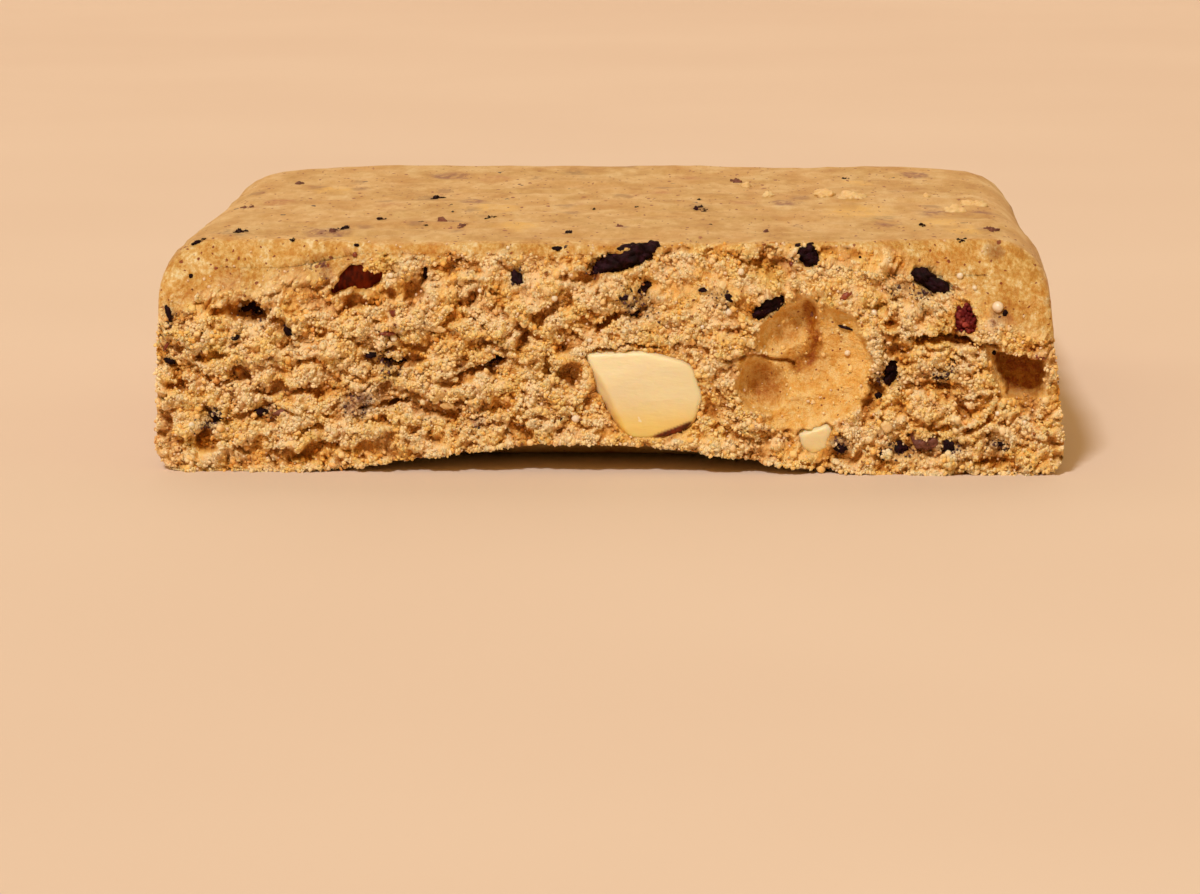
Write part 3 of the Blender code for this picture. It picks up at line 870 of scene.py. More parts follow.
def joined(parts):
    """One set of points and faces from several."""
    points, faces, total = [], [], 0
    for part_points, part_faces in parts:
        points.append(part_points)
        faces.append(part_faces + total)
        total += len(part_points)
    return np.concatenate(points), np.concatenate(faces).tolist()


def piece_middle(piece):
    """A piece's middle in space."""
    return np.array([piece["middle"][0], FRONT + piece["depth"], piece["middle"][1]])


def build_nut(piece):
    """A broken nut with flat facets, painted with its skin and how golden its flesh is.

    The flesh is more golden low down, and a little so on the last facet: painted shade.
    """
    sphere, faces = unit_sphere(piece["detail"])
    radius, facets = faceted_radius(piece, sphere)
    points = sphere * radius[:, None]
    rough = 0.015 * swell(points, 0.7, 41, octaves=3) + 0.03 * swell(points, 1.8, 42)
    placed = points + piece_middle(piece) + sphere * rough[:, None]
    obj = mesh_object(piece["node"] + "_look", placed, faces.tolist())
    bare = sum(smoothstep(0.35, 0.65, facets[k]) for k in piece.get("bare", ()))
    skin = sum(smoothstep(0.35, 0.65, facets[k]) for k in piece.get("skinned", ()))
    if "bare" in piece:
        skin = 1 - bare
    skin = np.zeros(len(sphere)) + skin
    # Painted shade: golden low down and a little on the last facet.
    golden = 0.9 * smoothstep(0.2, -2.0, points[:, 2]) + 0.2 * smoothstep(0.25, 0.6, facets[-1])
    empty = np.zeros(len(sphere))
    paint(obj, "look", skin, np.clip(golden, 0, 1), empty, empty)
    return obj


def build_fruit(piece):
    """A crushed berry: ragged lobes side by side."""
    turn = np.array(Matrix.Rotation(math.radians(-piece["tilt"]), 3, "Y"))
    parts = []
    for k, (dx, dz, along, across) in enumerate(piece["lobes"]):
        sphere, faces = unit_sphere(4)
        points = sphere * (along, max(across, 0.4), across) + (dx, 0, dz)
        rough = 0.22 * swell(points, (0.5, 0.35, 0.3), 50 + k, octaves=5)
        points = points + sphere * rough[:, None]
        parts.append((points @ turn.T + piece_middle(piece), faces))
    return mesh_object(piece["node"] + "_look", *joined(parts))


def build_bead(piece):
    """A dried berry's flesh: a lump of small beads."""
    count = 110
    turns = np.arange(count) * math.pi * (3 - math.sqrt(5))
    rise = 1 - 2 * (np.arange(count) + 0.5) / count
    wide = np.sqrt(1 - rise**2)
    sphere = np.stack([wide * np.cos(turns), wide * np.sin(turns), rise], axis=-1)
    radii = 0.85 * np.array(piece["radii"])
    spots = sphere * radii * (1 + 0.5 * swell(sphere, 0.6, 61))[:, None] + piece_middle(piece)
    sizes = 0.14 + 0.07 * swell(spots, 0.2, 62)
    return scatter(piece["node"] + "_look", spots, sizes, 2, 0.35, 0.15, 63)


# ---------------------------------------------------------------- grains and bits


def random_turns(rng, count):
    """Rotation matrices that point every way evenly."""
    chosen = rng.normal(size=(count, 4))
    return np.array([Quaternion(four).normalized().to_matrix() for four in chosen])


def scatter(name, spots, sizes, detail, squash, jitter, seed):
    """Joined small lumps: one at each spot, of its own size, shape and turn."""
    rng = np.random.default_rng(seed)
    sphere, faces = unit_sphere(detail)
    count = len(spots)
    stretch = 1 + squash * rng.uniform(-1, 1, (count, 1, 3))
    shaky = 1 + jitter * rng.uniform(-1, 1, (count, len(sphere), 1))
    shapes = sphere[None] * stretch * shaky
    shapes = np.einsum("nij,nvj->nvi", random_turns(rng, count), shapes)
    points = (shapes * np.asarray(sizes)[:, None, None] + np.asarray(spots)[:, None]).reshape(-1, 3)
    offsets = np.arange(count)[:, None, None] * len(sphere)
    return mesh_object(name, points, (faces[None] + offsets).reshape(-1, 3).tolist())


# The grains on the broken face: where they lie, how many, least and greatest radius, mesh
# detail, how deep their middles sink as a share of their radius, squash and jitter.
GRAINS = (
    dict(name="crumb_clumps", where="crumb", count=2400, sizes=(0.09, 0.16), detail=2,
         sink=0.40, squash=0.5, jitter=0.22),
    dict(name="crumb_grains", where="crumb", count=9900, sizes=(0.07, 0.12), detail=1,
         sink=0.35, squash=0.5, jitter=0.28),
    dict(name="crumb_sand", where="crumb", count=9900, sizes=(0.055, 0.09), detail=1,
         sink=0.20, squash=0.5, jitter=0.30),
    dict(name="fruit_dust", where="fruit", count=900, sizes=(0.04, 0.08), detail=1,
         sink=0.0, squash=0.5, jitter=0.35),
    dict(name="bran", where="all", count=700, sizes=(0.03, 0.07), detail=1,
         sink=-0.3, squash=0.6, jitter=0.30),
    dict(name="pale_grains", where="all", count=900, sizes=(0.05, 0.10), detail=1,
         sink=-0.3, squash=0.3, jitter=0.15),
)


def build_grains(dough, here, kind, seed):
    """One kind of grain, scattered over the dough where that kind lies."""
    rng = np.random.default_rng(seed)
    points, normals = vertex_points(dough), vertex_normals(dough)
    stained = np.maximum(here["dark"], 0.6 * here["purple"])
    weight = {
        "crumb": (here["crumb"] ** 2 * (1 - 0.6 * here["hollow"]) * (0.4 + here["clustered"])
                  + 0.03 * here["paste"]) * (1 - here["bare"]),
        "fruit": stained**2.5 * here["crumb"] * (1 - 0.5 * here["bare"]),
        "all": (here["crumb"] + 0.35 * here["face"]) * (1 - here["bare"]),
    }[kind["where"]]
    count = kind["count"]
    chosen = rng.choice(len(points), count, replace=True, p=weight / weight.sum())
    low, high = kind["sizes"]
    sizes = low + (high - low) * rng.random(count) ** 2
    shift = rng.normal(scale=0.04, size=(count, 3))
    spots = points[chosen] + shift - normals[chosen] * (kind["sink"] * sizes)[:, None]
    obj = scatter(kind["name"], spots, sizes, kind["detail"], kind["squash"], kind["jitter"], seed)
    each = len(obj.data.vertices) // count
    empty = np.zeros(count * each)
    # The grains take the painted shade of the hollow they lie in.
    paint(obj, "look", empty + 1, np.repeat(here["hollow"][chosen], each), empty, empty)
    paint(obj, "stains", *(np.repeat(here[key][chosen], each) for key in STAINS))
    return obj


# How much a point has to face up to count as the top, or forward to count as the broken face, and
# how far back the broken face goes.
TOP_FACING, FRONT_FACING, FRONT_REACH = 0.5, 0.05, 3.2
# The share of straight outward in the direction that a bit there faces, against 1 of its own.
STEADY = 1.5


class Surface:
    """Finds the dough's surface behind a place on its broken face, or under one on its top."""

    def __init__(self, dough, on_top):
        self.points, self.normals = vertex_points(dough), vertex_normals(dough)
        self.kept = [0, 1] if on_top else [0, 2]
        self.outward = np.array([0, 0, 1]) if on_top else np.array([0, -1, 0])
        facing = self.normals @ self.outward > (TOP_FACING if on_top else FRONT_FACING)
        if not on_top:
            facing &= self.points[:, 1] < FRONT + FRONT_REACH
        self.chosen = np.nonzero(facing)[0]
        self.tree = kdtree.KDTree(len(self.chosen))
        for k, index in enumerate(self.chosen):
            self.tree.insert((*self.points[index][self.kept], 0), k)
        self.tree.balance()

    def at(self, across, along):
        """The surface's point there, and the direction that a bit on it faces."""
        index = self.chosen[self.tree.find((across, along, 0))[1]]
        normal = self.normals[index] + STEADY * self.outward
        return self.points[index], normal / np.linalg.norm(normal)


# Kinds of bits on the broken face and on the top: their slot, half their least thickness, how
# far they rise out of the dough, how ragged they are, and the seed of their shapes. Those on the
# top have the material of a kind on the face, their look.
FACE_BITS = (
    dict(name="dark_bits", bits=DARK_BITS, slot="blue_fruit",
         thickness=0.14, rise=0.17, roughness=0.55, seed=400),
    dict(name="stained_bits", bits=STAINED_BITS, slot="blue_fruit",
         thickness=0.10, rise=0.06, roughness=0.6, seed=440),
    dict(name="red_bits", bits=RED_BITS, slot="red_fruit",
         thickness=0.08, rise=0.10, roughness=0.4, seed=460),
    dict(name="pale_bits", bits=PALE_BITS, slot="nut_flesh",
         thickness=0.10, rise=0.14, roughness=0.3, seed=480),
)
TOP_BITS = (
    dict(name="top_dark", bits=TOP_DARK, slot="blue_fruit", look="dark_bits",
         thickness=0.06, rise=0.008, roughness=0.9, seed=500),
    dict(name="top_stained", bits=TOP_STAINED, slot="blue_fruit", look="stained_bits",
         thickness=0.05, rise=0.004, roughness=0.9, seed=520),
    dict(name="top_pale", bits=TOP_PALE, slot="nut_flesh", look="pale_bits",
         thickness=0.25, rise=0.22, roughness=0.5, seed=540),
)


def build_bits(kind, surface):
    """Ragged flakes half sunk in the surface, each rising a little out of it."""
    parts = []
    axis = Vector((0, 1, 0))
    for k, (across, along, half_length, half_height, tilt) in enumerate(kind["bits"]):
        sphere, faces = unit_sphere(4 if max(half_length, half_height) > 0.4 else 3)
        spot, normal = surface.at(across, along)
        size = min(half_length, half_height)
        depth = max(kind["thickness"], 0.5 * size)
        points = sphere * (half_length, depth, half_height)
        wavelength = max(0.8 * size, 0.12)
        rough = kind["roughness"] * size * swell(points, wavelength, kind["seed"] + k, octaves=3)
        points = points + sphere * rough[:, None]
        turn = axis.rotation_difference(Vector(-normal)).to_matrix()
        turn = turn @ Matrix.Rotation(math.radians(-tilt), 3, "Y")
        middle = spot + (kind["rise"] - depth) * normal
        parts.append((points @ np.array(turn).T + middle, faces))
    return mesh_object(kind["name"], *joined(parts))


def build_pearls(surface):
    """The clear round grains."""
    spots, sizes = [], []
    for x, z, radius in PEARLS:
        spot, normal = surface.at(x, z)
        spots.append(spot + 0.5 * radius * normal)
        sizes.append(radius)
    return scatter("clear_grains", spots, sizes, 3, 0.1, 0.02, 301)


# Grains in a ball of crumb, for each millimetre of its radius.
GRAINS_PER_MM = 260


def build_balls(surface):
    """Balls of loose crumb at the lower edge of the broken face."""
    rng = np.random.default_rng(311)
    spots, sizes = [], []
    for x, z, radius in LOOSE_BALLS:
        middle = surface.at(x, z)[0] + (0, -0.35 * radius, 0)
        count = round(GRAINS_PER_MM * radius)
        ways = rng.normal(size=(count, 3))
        ways /= np.linalg.norm(ways, axis=1)[:, None]
        spots.append(middle + ways * radius * rng.uniform(0.4, 1.0, (count, 1)))
        sizes.append(rng.uniform(0.08, 0.16, count))
    obj = scatter("loose_crumb", np.concatenate(spots), np.concatenate(sizes), 2, 0.4, 0.18, 312)
    empty = np.zeros(len(obj.data.vertices))
    paint(obj, "look", empty + 1, empty, empty, empty)
    paint(obj, "stains", empty, empty, empty, empty)
    return obj


# ---------------------------------------------------------------- materials


# The Mix node's sockets for colours.
MIX_SHARE, MIX_FIRST, MIX_SECOND, MIX_RESULT = 0, 6, 7, 2


class Nodes:
    """Short calls for building a material's node tree."""

    def __init__(self, name):
        self.material = bpy.data.materials.new(name)
        self.material.use_nodes = True
        self.tree = self.material.node_tree
        self.shader = self.tree.nodes["Principled BSDF"]

    def node(self, kind, **settings):
        made = self.tree.nodes.new(kind)
        for key, value in settings.items():
            setattr(made, key, value)
        return made

    def link(self, output, target):
        self.tree.links.new(output, target)

    def feed(self, socket, value):
        """Links a node's output to a socket, or sets the socket to a number or colour."""
        if isinstance(value, bpy.types.NodeSocket):
            self.link(value, socket)
        elif hasattr(socket.default_value, "__len__") and len(socket.default_value) == 4:
            socket.default_value = (*value, 1)
        else:
            socket.default_value = value

    def channels(self, name):
        """The four values of a painted attribute."""
        look = self.node("ShaderNodeAttribute", attribute_name=name)
        parts = self.node("ShaderNodeSeparateColor")
        self.link(look.outputs["Color"], parts.inputs["Color"])
        return (*parts.outputs, look.outputs["Alpha"])

    def place(self):
        """Where on the object a point lies, the same in every view."""
        return self.node("ShaderNodeTexCoord").outputs["Object"]

    def noise(self, place, size_mm, detail=3.0, roughness=0.55, output="Fac"):
        """Noise in waves about size_mm long, mostly between 0.3 and 0.7."""
        made = self.node("ShaderNodeTexNoise")
        self.link(place, made.inputs["Vector"])
        made.inputs["Scale"].default_value = 1 / (size_mm * MM)
        made.inputs["Detail"].default_value = detail
        made.inputs["Roughness"].default_value = roughness
        return made.outputs[output]

    def shaken(self, place, size_mm, reach_mm):
        """The place moved about by noise."""
        move = self.node("ShaderNodeVectorMath", operation="MULTIPLY_ADD")
        self.link(self.noise(place, size_mm, 2.0, output="Color"), move.inputs[0])
        move.inputs[1].default_value = (2 * reach_mm * MM,) * 3
        self.link(place, move.inputs[2])
        return move.outputs[0]

    def stretched(self, place, x, y, z):
        """The place times a number on each axis: marks get longer where it is under 1."""
        made = self.node("ShaderNodeVectorMath", operation="MULTIPLY")
        self.link(place, made.inputs[0])
        made.inputs[1].default_value = (x, y, z)
        return made.outputs[0]

    def ramp(self, value, low, high, from_value=0.0, to_value=1.0):
        """A smooth change from one value to another as the input goes from low to high."""
        made = self.node("ShaderNodeMapRange", interpolation_type="SMOOTHSTEP")
        self.feed(made.inputs["Value"], value)
        made.inputs["From Min"].default_value = low
        made.inputs["From Max"].default_value = high
        made.inputs["To Min"].default_value = from_value
        made.inputs["To Max"].default_value = to_value
        return made.outputs["Result"]

    def specks(self, place, size_mm, radius_mm, share, strength=1.0, softness=0.15):
        """Spots of one radius round a share of many points, which are about size_mm apart."""
        cells = self.node("ShaderNodeTexVoronoi")
        self.link(place, cells.inputs["Vector"])
        cells.inputs["Scale"].default_value = 1 / (size_mm * MM)
        own = self.node("ShaderNodeSeparateColor")
        self.link(cells.outputs["Color"], own.inputs["Color"])
        edge = radius_mm / size_mm
        low, high = edge * (1 + softness), edge * (1 - softness)
        spot = self.ramp(cells.outputs["Distance"], low, high, 0.0, strength)
        return self.maths("MULTIPLY", spot, self.ramp(own.outputs[0], share + 0.02, share - 0.02))

    def mix(self, share, first, second, blend="MIX"):
        """Two colours mixed. The node's colour sockets come after those for other kinds of data."""
        made = self.node("ShaderNodeMix", data_type="RGBA", blend_type=blend)
        self.feed(made.inputs[MIX_SHARE], share)
        self.feed(made.inputs[MIX_FIRST], first)
        self.feed(made.inputs[MIX_SECOND], second)
        return made.outputs[MIX_RESULT]

    def maths(self, operation, first, second=0.0):
        made = self.node("ShaderNodeMath", operation=operation)
        self.feed(made.inputs[0], first)
        self.feed(made.inputs[1], second)
        return made.outputs[0]

    def deepened(self, colour, bounces):
        """The colour as light has it that was thrown back that many times."""
        made = self.node("ShaderNodeGamma")
        self.feed(made.inputs["Color"], colour)
        self.feed(made.inputs["Gamma"], bounces)
        return made.outputs["Color"]

    def bump(self, height, distance_mm, strength=1.0):
        """Fine relief, where a height of 1 stands for distance_mm."""
        made = self.node("ShaderNodeBump")
        made.inputs["Strength"].default_value = strength
        made.inputs["Distance"].default_value = distance_mm * MM
        self.link(height, made.inputs["Height"])
        self.link(made.outputs["Normal"], self.shader.inputs["Normal"])

    def soften(self, weight, scale_mm, radius=(1.0, 0.45, 0.2)):
        """Light that goes into the food and comes out a little further on."""
        self.shader.inputs["Subsurface Weight"].default_value = weight
        self.shader.inputs["Subsurface Radius"].default_value = radius
        self.shader.inputs["Subsurface Scale"].default_value = scale_mm * MM


# Colours of the skin; the top's are multiplied by a tint of painted shade and sheen.
SKIN_TAN = (0.68, 0.425, 0.14)
SKIN_GOLD = (0.76, 0.49, 0.19)
SKIN_PALE = (0.79, 0.55, 0.24)
TOP_SHADE_AND_SHEEN = (0.84, 0.85, 0.90)
FRUIT_SPECK = (0.06, 0.02, 0.013)
FRUIT_BLOTCH = (0.20, 0.07, 0.03)
# Colours of the crumb. Painted shade: in a hollow the colour is deepened as if its light had been
# thrown back more often, and browned at the bottom; the dough under the grains gets a little too.
CRUMB_CREAM = (0.95, 0.735, 0.475)
CRUMB_GOLD = (0.925, 0.655, 0.30)
CRUMB_PINK = (0.935, 0.675, 0.42)
HOLLOW_BOUNCES = 2.6
HOLLOW_SHADE_BROWN = (0.24, 0.090, 0.013)
SHADE_UNDER_GRAINS = 0.06
# The paste's colour, and its painted shade deep in the bowls and pockets.
PASTE_LIGHT = (0.83, 0.53, 0.18)
PASTE_SHADED = (0.44, 0.16, 0.012)
BRAN_RED = (0.26, 0.055, 0.012)
FRUIT_BLACK = (0.010, 0.003, 0.004)
FRUIT_BLUE = (0.040, 0.009, 0.020)
# Pairs of colours that grains and bits vary between.
CRANBERRY_REDS = ((0.11, 0.008, 0.010), (0.48, 0.09, 0.07))
BERRY_REDS = ((0.34, 0.065, 0.015), (0.14, 0.02, 0.012))
STAINED_REDS = ((0.07, 0.018, 0.020), (0.26, 0.085, 0.05))
DUST_REDS = ((0.02, 0.007, 0.008), (0.14, 0.045, 0.05))
BRAN_BROWNS = ((0.50, 0.17, 0.03), (0.12, 0.028, 0.010))
GRAIN_PALES = ((0.86, 0.68, 0.47), (0.80, 0.55, 0.36))
NUT_PALES = ((0.88, 0.70, 0.42), (0.74, 0.48, 0.20))
CLEAR_PALES = ((0.86, 0.76, 0.64), (0.84, 0.68, 0.52))
# The stains' colours and strengths, in the order of STAINS.
STAIN_COLOURS = ((0.17, 0.04, 0.05), (0.13, 0.07, 0.035), (0.42, 0.13, 0.04), (0.80, 0.52, 0.13))
STAIN_SHARES = (0.75, 0.55, 0.5, 0.6)


def stained_colour(n, place, colour, stains):
    """Fruit and oil soaked unevenly into the dough."""
    patchy = n.ramp(n.noise(place, 0.35, 3.0), 0.35, 0.6, 0.35, 1.0)
    for stain, tone, share in zip(stains, STAIN_COLOURS, STAIN_SHARES):
        amount = n.maths("MULTIPLY", n.maths("MULTIPLY", stain, patchy), share)
        colour = n.mix(amount, colour, tone)
    return colour


def crumb_colour(n, place, hollow, stains, shade):
    """Colour of the broken dough: cream to gold, with painted shade in the hollows."""
    gold = n.ramp(n.noise(place, 1.4, 3.0), 0.38, 0.62)
    colour = n.mix(gold, CRUMB_CREAM, CRUMB_GOLD)
    colour = n.mix(n.ramp(shade, 0.25, 0.0, 0.0, 0.7), colour, CRUMB_PINK)
    # Painted shade: more bounces and a shade brown where the hollow value is high.
    in_hollow = n.maths("MULTIPLY", hollow, HOLLOW_BOUNCES - 1)
    bounces = n.maths("ADD", n.ramp(shade, 0.3, 1.0, 1.0, 1.6), in_hollow)
    shaded = n.ramp(hollow, 0.1, 1.0, 0.0, 0.5)
    colour = n.mix(shaded, n.deepened(colour, bounces), HOLLOW_SHADE_BROWN)
    return stained_colour(n, place, colour, stains)


def skin_colour(n, place, face, stains):
    """Colour of the smooth skin, with bran and specks of fruit pressed into it."""
    place = n.stretched(place, 1.0, LENGTHWISE, 1.0)
    colour = n.mix(n.ramp(n.noise(place, 3.0, 3.0), 0.35, 0.65), SKIN_TAN, SKIN_GOLD)
    colour = n.mix(n.ramp(n.noise(place, 1.9, 3.0), 0.54, 0.70, 0.0, 0.8), colour, SKIN_PALE)
    # Painted shade and sheen on the top; none on the broken face.
    colour = n.mix(1.0, colour, n.mix(face, TOP_SHADE_AND_SHEEN, (1.0, 1.0, 1.0)), "MULTIPLY")
    broad = n.ramp(n.noise(place, 2.2, 3.0, 0.6), 0.38, 0.66, 0.9, 1.3)
    mottled = n.ramp(n.noise(place, 0.7, 4.0, 0.7), 0.36, 0.64, -0.22, 0.45)
    grainy = n.ramp(n.noise(place, 0.2, 3.0, 0.6), 0.35, 0.65, -0.3, 0.35)
    mottled = n.maths("MULTIPLY", mottled, n.ramp(face, 0.0, 1.0, 0.45, 1.0))
    uneven = n.maths("ADD", mottled, n.maths("MULTIPLY", grainy, face))
    colour = n.deepened(colour, n.maths("ADD", broad, uneven))
    colour = stained_colour(n, place, colour, stains)
    ragged = n.shaken(place, 0.25, 0.12)
    colour = n.mix(n.specks(ragged, 0.34, 0.060, 0.5), colour, BRAN_RED)
    colour = n.mix(n.specks(ragged, 0.75, 0.100, 0.5), colour, BRAN_RED)
    torn = n.shaken(n.shaken(place, 0.6, 0.4), 0.2, 0.2)
    colour = n.mix(n.specks(torn, 1.4, 0.13, 0.4), colour, FRUIT_SPECK)
    return n.mix(n.specks(torn, 2.4, 0.42, 0.35, 0.5, 0.6), colour, FRUIT_BLOTCH)


def dough_material():
    """The dough's crumb, skin and paste, each where it is painted."""
    n = Nodes("dough")
    place = n.place()
    crumb, hollow, paste, face = n.channels("look")
    stains = n.channels("stains")
    # A little painted shade under the grains, added to that of the hollows.
    under = n.maths("ADD", hollow, SHADE_UNDER_GRAINS)
    crumb_part = crumb_colour(n, place, under, stains, n.noise(place, 0.22, 3.0, 0.6))
    colour = n.mix(crumb, skin_colour(n, place, face, stains), crumb_part)
    # Painted shade: the paste darkens towards its shaded colour where the hollow value is high.
    paste_part = n.mix(n.ramp(hollow, 0.0, 0.75), PASTE_LIGHT, PASTE_SHADED)
    mottled = n.ramp(n.noise(place, 0.5, 5.0, 0.75), 0.38, 0.66, 0.8, 1.5)
    paste_part = n.deepened(paste_part, mottled)
    paste_part = n.mix(n.specks(n.shaken(place, 0.2, 0.05), 0.4, 0.05, 0.4), paste_part, BRAN_RED)
    colour = n.mix(paste, colour, paste_part)
    n.link(colour, n.shader.inputs["Base Color"])
    n.link(n.ramp(crumb, 0.0, 1.0, 0.5, 0.75), n.shader.inputs["Roughness"])
    n.shader.inputs["Specular IOR Level"].default_value = 0.35
    n.soften(0.5, 0.16, (1.0, 0.8, 0.65))
    fine = n.maths("MULTIPLY", n.noise(place, 0.15, 2.0, 0.65), n.ramp(face, 0.0, 1.0, 0.15, 1.0))
    lengthwise = n.stretched(place, 1.0, LENGTHWISE, 1.0)
    coarse = n.maths("MULTIPLY", n.noise(lengthwise, 0.6, 4.0, 0.7), 0.7)
    n.bump(n.maths("ADD", fine, coarse), 0.16, 0.9)
    return n.material


def grain_material():
    """The crumb's grains, each a little different from the next."""
    n = Nodes("crumb_grains")
    # The painted shade of the hollow under each grain.
    hollow = n.channels("look")[1]
    shade = n.node("ShaderNodeNewGeometry").outputs["Random Per Island"]
    colour = crumb_colour(n, n.place(), hollow, n.channels("stains"), shade)
    n.link(colour, n.shader.inputs["Base Color"])
    n.shader.inputs["Roughness"].default_value = 0.65
    n.shader.inputs["Specular IOR Level"].default_value = 0.2
    n.soften(0.6, 0.15, (1.0, 0.85, 0.7))
    return n.material


def shard_material(name, first, second, roughness, soft_mm=0.0):
    """Grains and bits that vary between two colours, one from the next and each over itself."""
    n = Nodes(name)
    own = n.node("ShaderNodeNewGeometry").outputs["Random Per Island"]
    tone = n.ramp(n.noise(n.place(), 0.25, 4.0, 0.65), 0.35, 0.65)
    share = n.maths("ADD", n.maths("MULTIPLY", own, 0.6), n.maths("MULTIPLY", tone, 0.4))
    n.link(n.mix(share, first, second), n.shader.inputs["Base Color"])
    n.shader.inputs["Roughness"].default_value = roughness
    if soft_mm:
        n.soften(0.6, soft_mm, (1.0, 0.8, 0.6))
    n.bump(n.noise(n.place(), 0.12, 3.0), 0.03, 0.8)
    return n.material


FLESH_PALE = (0.86, 0.75, 0.49)
FLESH_CREAM = (0.83, 0.71, 0.48)
FLESH_SHADE_GOLD = (0.86, 0.62, 0.18)
FLESH_WHITE = (0.93, 0.84, 0.66)
NUT_SKIN_RED = (0.20, 0.020, 0.001)
NUT_SKIN_DARK = (0.06, 0.004, 0.001)


def nut_material(name, specular):
    """Almond flesh, pale yellow to golden, with streaked brown skin where it is painted."""
    n = Nodes(name)
    n.shader.inputs["Specular IOR Level"].default_value = specular
    place = n.place()
    skin, golden = n.channels("look")[:2]
    slanted = n.stretched(place, 0.35, 1.0, 1.0)
    flesh = n.mix(n.ramp(n.noise(slanted, 0.9, 4.0), 0.35, 0.65), FLESH_PALE, FLESH_CREAM)
    # Painted shade, where the look's second channel says so.
    flesh = n.mix(golden, flesh, FLESH_SHADE_GOLD)
    flakes = n.specks(n.shaken(place, 0.2, 0.15), 0.7, 0.07, 0.5, 0.8)
    flesh = n.mix(flakes, flesh, FLESH_WHITE)
    streaks = n.ramp(n.noise(n.stretched(place, 1.0, 1.0, 0.25), 0.22, 4.0), 0.35, 0.65)
    brown = n.mix(streaks, NUT_SKIN_DARK, NUT_SKIN_RED)
    n.link(n.mix(skin, flesh, brown), n.shader.inputs["Base Color"])
    n.link(n.ramp(skin, 0.0, 1.0, 0.42, 0.5), n.shader.inputs["Roughness"])
    n.soften(0.6, 0.5, (1.0, 0.6, 0.25))
    n.link(n.ramp(skin, 0.0, 0.6, 0.6, 0.02), n.shader.inputs["Subsurface Weight"])
    n.bump(n.noise(slanted, 0.5, 4.0), 0.08, 0.8)
    return n.material


def fruit_material(name, first, second, roughness):
    """Dried fruit: wrinkled and dark, with a dusting of crumb."""
    n = Nodes(name)
    place = n.place()
    own = n.node("ShaderNodeNewGeometry").outputs["Random Per Island"]
    tone = n.ramp(n.noise(place, 0.35, 4.0, 0.6), 0.4, 0.75)
    colour = n.mix(n.maths("MULTIPLY", n.ramp(own, 0.0, 1.0, 0.2, 1.0), tone), first, second)
    dust = n.specks(n.shaken(place, 0.1, 0.05), 0.3, 0.045, 0.12, 0.3)
    colour = n.mix(dust, colour, CRUMB_PINK)
    n.link(colour, n.shader.inputs["Base Color"])
    n.shader.inputs["Roughness"].default_value = roughness
    n.shader.inputs["Specular IOR Level"].default_value = 0.08
    n.bump(n.noise(place, 0.25, 4.0, 0.65), 0.08, 0.8)
    return n.material


# ---------------------------------------------------------------- camera, light and stage

CAMERA_PLACE = (0.0069, -0.26475, 0.0379)
CAMERA_YAW, CAMERA_PITCH = 1.74, 8.63
CAMERA_LENS, SENSOR_WIDTH = 150, 36
KEY_TOWARDS = (-0.23, -0.67, 0.707)
KEY_DISTANCE, KEY_SIZE, KEY_POWER = 3.0, 0.4, 61.0
KEY_COLOUR = (1.0, 0.96, 0.9)
WORLD_COLOUR, WORLD_STRENGTH = (1.0, 0.63, 0.14), 0.44
# The stage, in metres: its floor from front to back, the round up to its wall, and the wall.
FLOOR_FRONT, FLOOR_BACK, STAGE_ROUND, WALL_TOP, STAGE_HALF_WIDTH = -1.2, 0.35, 0.25, 1.2, 1.5
ROUND_STEPS = 12
FLOOR_TONES = ((0.765, 0.635, 0.56), (0.79, 0.665, 0.59))
WALL_TONE = (0.98, 0.80, 0.69)


def add_camera():
    """A long lens in front of the broken face, a little above it."""
    data = bpy.data.cameras.new("camera")
    data.lens, data.sensor_width = CAMERA_LENS, SENSOR_WIDTH
    data.clip_start = 0.01
    camera = bpy.data.objects.new("camera", data)
    bpy.context.scene.collection.objects.link(camera)
    camera.location = CAMERA_PLACE
    camera.rotation_euler = (math.radians(90 - CAMERA_PITCH), 0, math.radians(CAMERA_YAW))
    bpy.context.scene.camera = camera


def add_key_light():
    """An area light that faces the bar, from above on the left of the camera."""
    data = bpy.data.lights.new("key", "AREA")
    data.shape, data.size = "DISK", KEY_SIZE
    data.energy, data.color = KEY_POWER, KEY_COLOUR
    light = bpy.data.objects.new("key", data)
    bpy.context.scene.collection.objects.link(light)
    direction = Vector(KEY_TOWARDS).normalized()
    light.location = direction * KEY_DISTANCE
    light.rotation_euler = direction.to_track_quat("Z", "Y").to_euler()


def add_stage():
    """A plain pale floor that sweeps up into a plain pale backdrop."""
    profile = [(FLOOR_FRONT, 0.0), (FLOOR_BACK, 0.0)]
    for k in range(1, ROUND_STEPS + 1):
        angle = math.pi / 2 * k / ROUND_STEPS
        rise = STAGE_ROUND * (1 - math.cos(angle))
        profile.append((FLOOR_BACK + STAGE_ROUND * math.sin(angle), rise))
    profile.append((FLOOR_BACK + STAGE_ROUND, WALL_TOP))
    points = [(x, y, z) for y, z in profile for x in (-STAGE_HALF_WIDTH, STAGE_HALF_WIDTH)]
    faces = [(2 * i, 2 * i + 1, 2 * i + 3, 2 * i + 2) for i in range(len(profile) - 1)]
    stage = mesh_object("stage", np.array(points) / MM, faces)
    n = Nodes("stage")
    tone = n.ramp(n.noise(n.place(), 60.0, 2.0), 0.3, 0.7)
    floor = n.mix(tone, *FLOOR_TONES)
    height = n.node("ShaderNodeSeparateXYZ")
    n.link(n.place(), height.inputs[0])
    colour = n.mix(n.ramp(height.outputs[2], 0.0, 0.15), floor, WALL_TONE)
    n.link(colour, n.shader.inputs["Base Color"])
    n.shader.inputs["Roughness"].default_value = 0.7
    stage.data.materials.append(n.material)


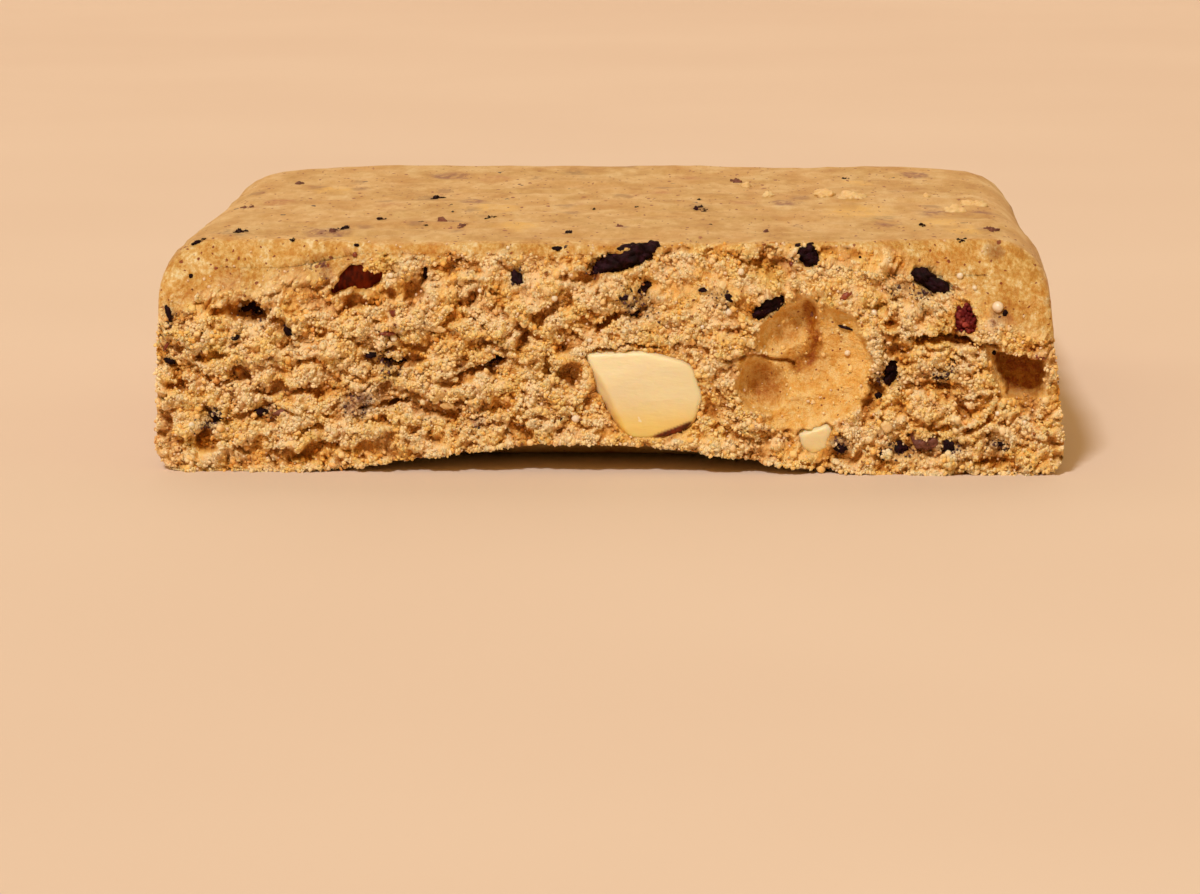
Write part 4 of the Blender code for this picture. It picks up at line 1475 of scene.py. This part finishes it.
def add_world():
    """Soft warm light from all round."""
    world = bpy.data.worlds.new("world")
    bpy.context.scene.world = world
    world.use_nodes = True
    background = world.node_tree.nodes["Background"]
    background.inputs["Color"].default_value = (*WORLD_COLOUR, 1)
    background.inputs["Strength"].default_value = WORLD_STRENGTH


# ---------------------------------------------------------------- everything together


def finish_piece(obj, material):
    """Gives a piece its material, and lets it ride on the one body."""
    obj.data.materials.append(material)
    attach(obj, "root")


def add_nuts_and_fruit():
    looks = {
        "nut_flesh": nut_material("nut_flesh", 0.5),
        "nut_skin": nut_material("nut_skin", 0.15),
        "blue_fruit": fruit_material("blue_fruit", FRUIT_BLACK, FRUIT_BLUE, 0.6),
        "red_fruit": fruit_material("red_fruit", *CRANBERRY_REDS, 0.4),
    }
    made = [(piece, build_nut(piece)) for piece in NUTS]
    made += [(piece, build_fruit(piece)) for piece in FRUITS]
    made.append((BEAD, build_bead(BEAD)))
    for piece, obj in made:
        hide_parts(piece["node"])
        finish_piece(obj, looks[piece["slot"]])


def add_grains(dough, here):
    crumb = grain_material()
    looks = {
        "fruit_dust": shard_material("fruit_dust", *DUST_REDS, 0.5),
        "bran": shard_material("bran", *BRAN_BROWNS, 0.5),
        "pale_grains": shard_material("pale_grains", *GRAIN_PALES, 0.4),
    }
    for k, kind in enumerate(GRAINS):
        obj = build_grains(dough, here, kind, 200 + k)
        finish_piece(obj, looks.get(kind["name"], crumb))


def add_bits(dough):
    face, top = Surface(dough, on_top=False), Surface(dough, on_top=True)
    looks = {
        "dark_bits": fruit_material("dark_bits", FRUIT_BLACK, FRUIT_BLUE, 0.6),
        "stained_bits": shard_material("stained_bits", *STAINED_REDS, 0.6),
        "red_bits": shard_material("red_bits", *BERRY_REDS, 0.4),
        "pale_bits": shard_material("pale_bits", *NUT_PALES, 0.45, 0.2),
        "clear_grains": shard_material("clear_grains", *CLEAR_PALES, 0.25, 0.2),
    }
    for kinds, surface in ((FACE_BITS, face), (TOP_BITS, top)):
        for kind in kinds:
            look = looks[kind.get("look", kind["name"])]
            finish_piece(build_bits(kind, surface), look)
    finish_piece(build_pearls(face), looks["clear_grains"])
    finish_piece(build_balls(face), bpy.data.materials["crumb_grains"])


def main():
    bpy.context.scene.view_settings.view_transform = "Standard"
    add_camera()
    add_world()
    add_stage()
    add_key_light()
    dough, here = build_dough(face_map())
    finish_piece(dough, dough_material())
    add_nuts_and_fruit()
    add_grains(dough, here)
    add_bits(dough)


main()
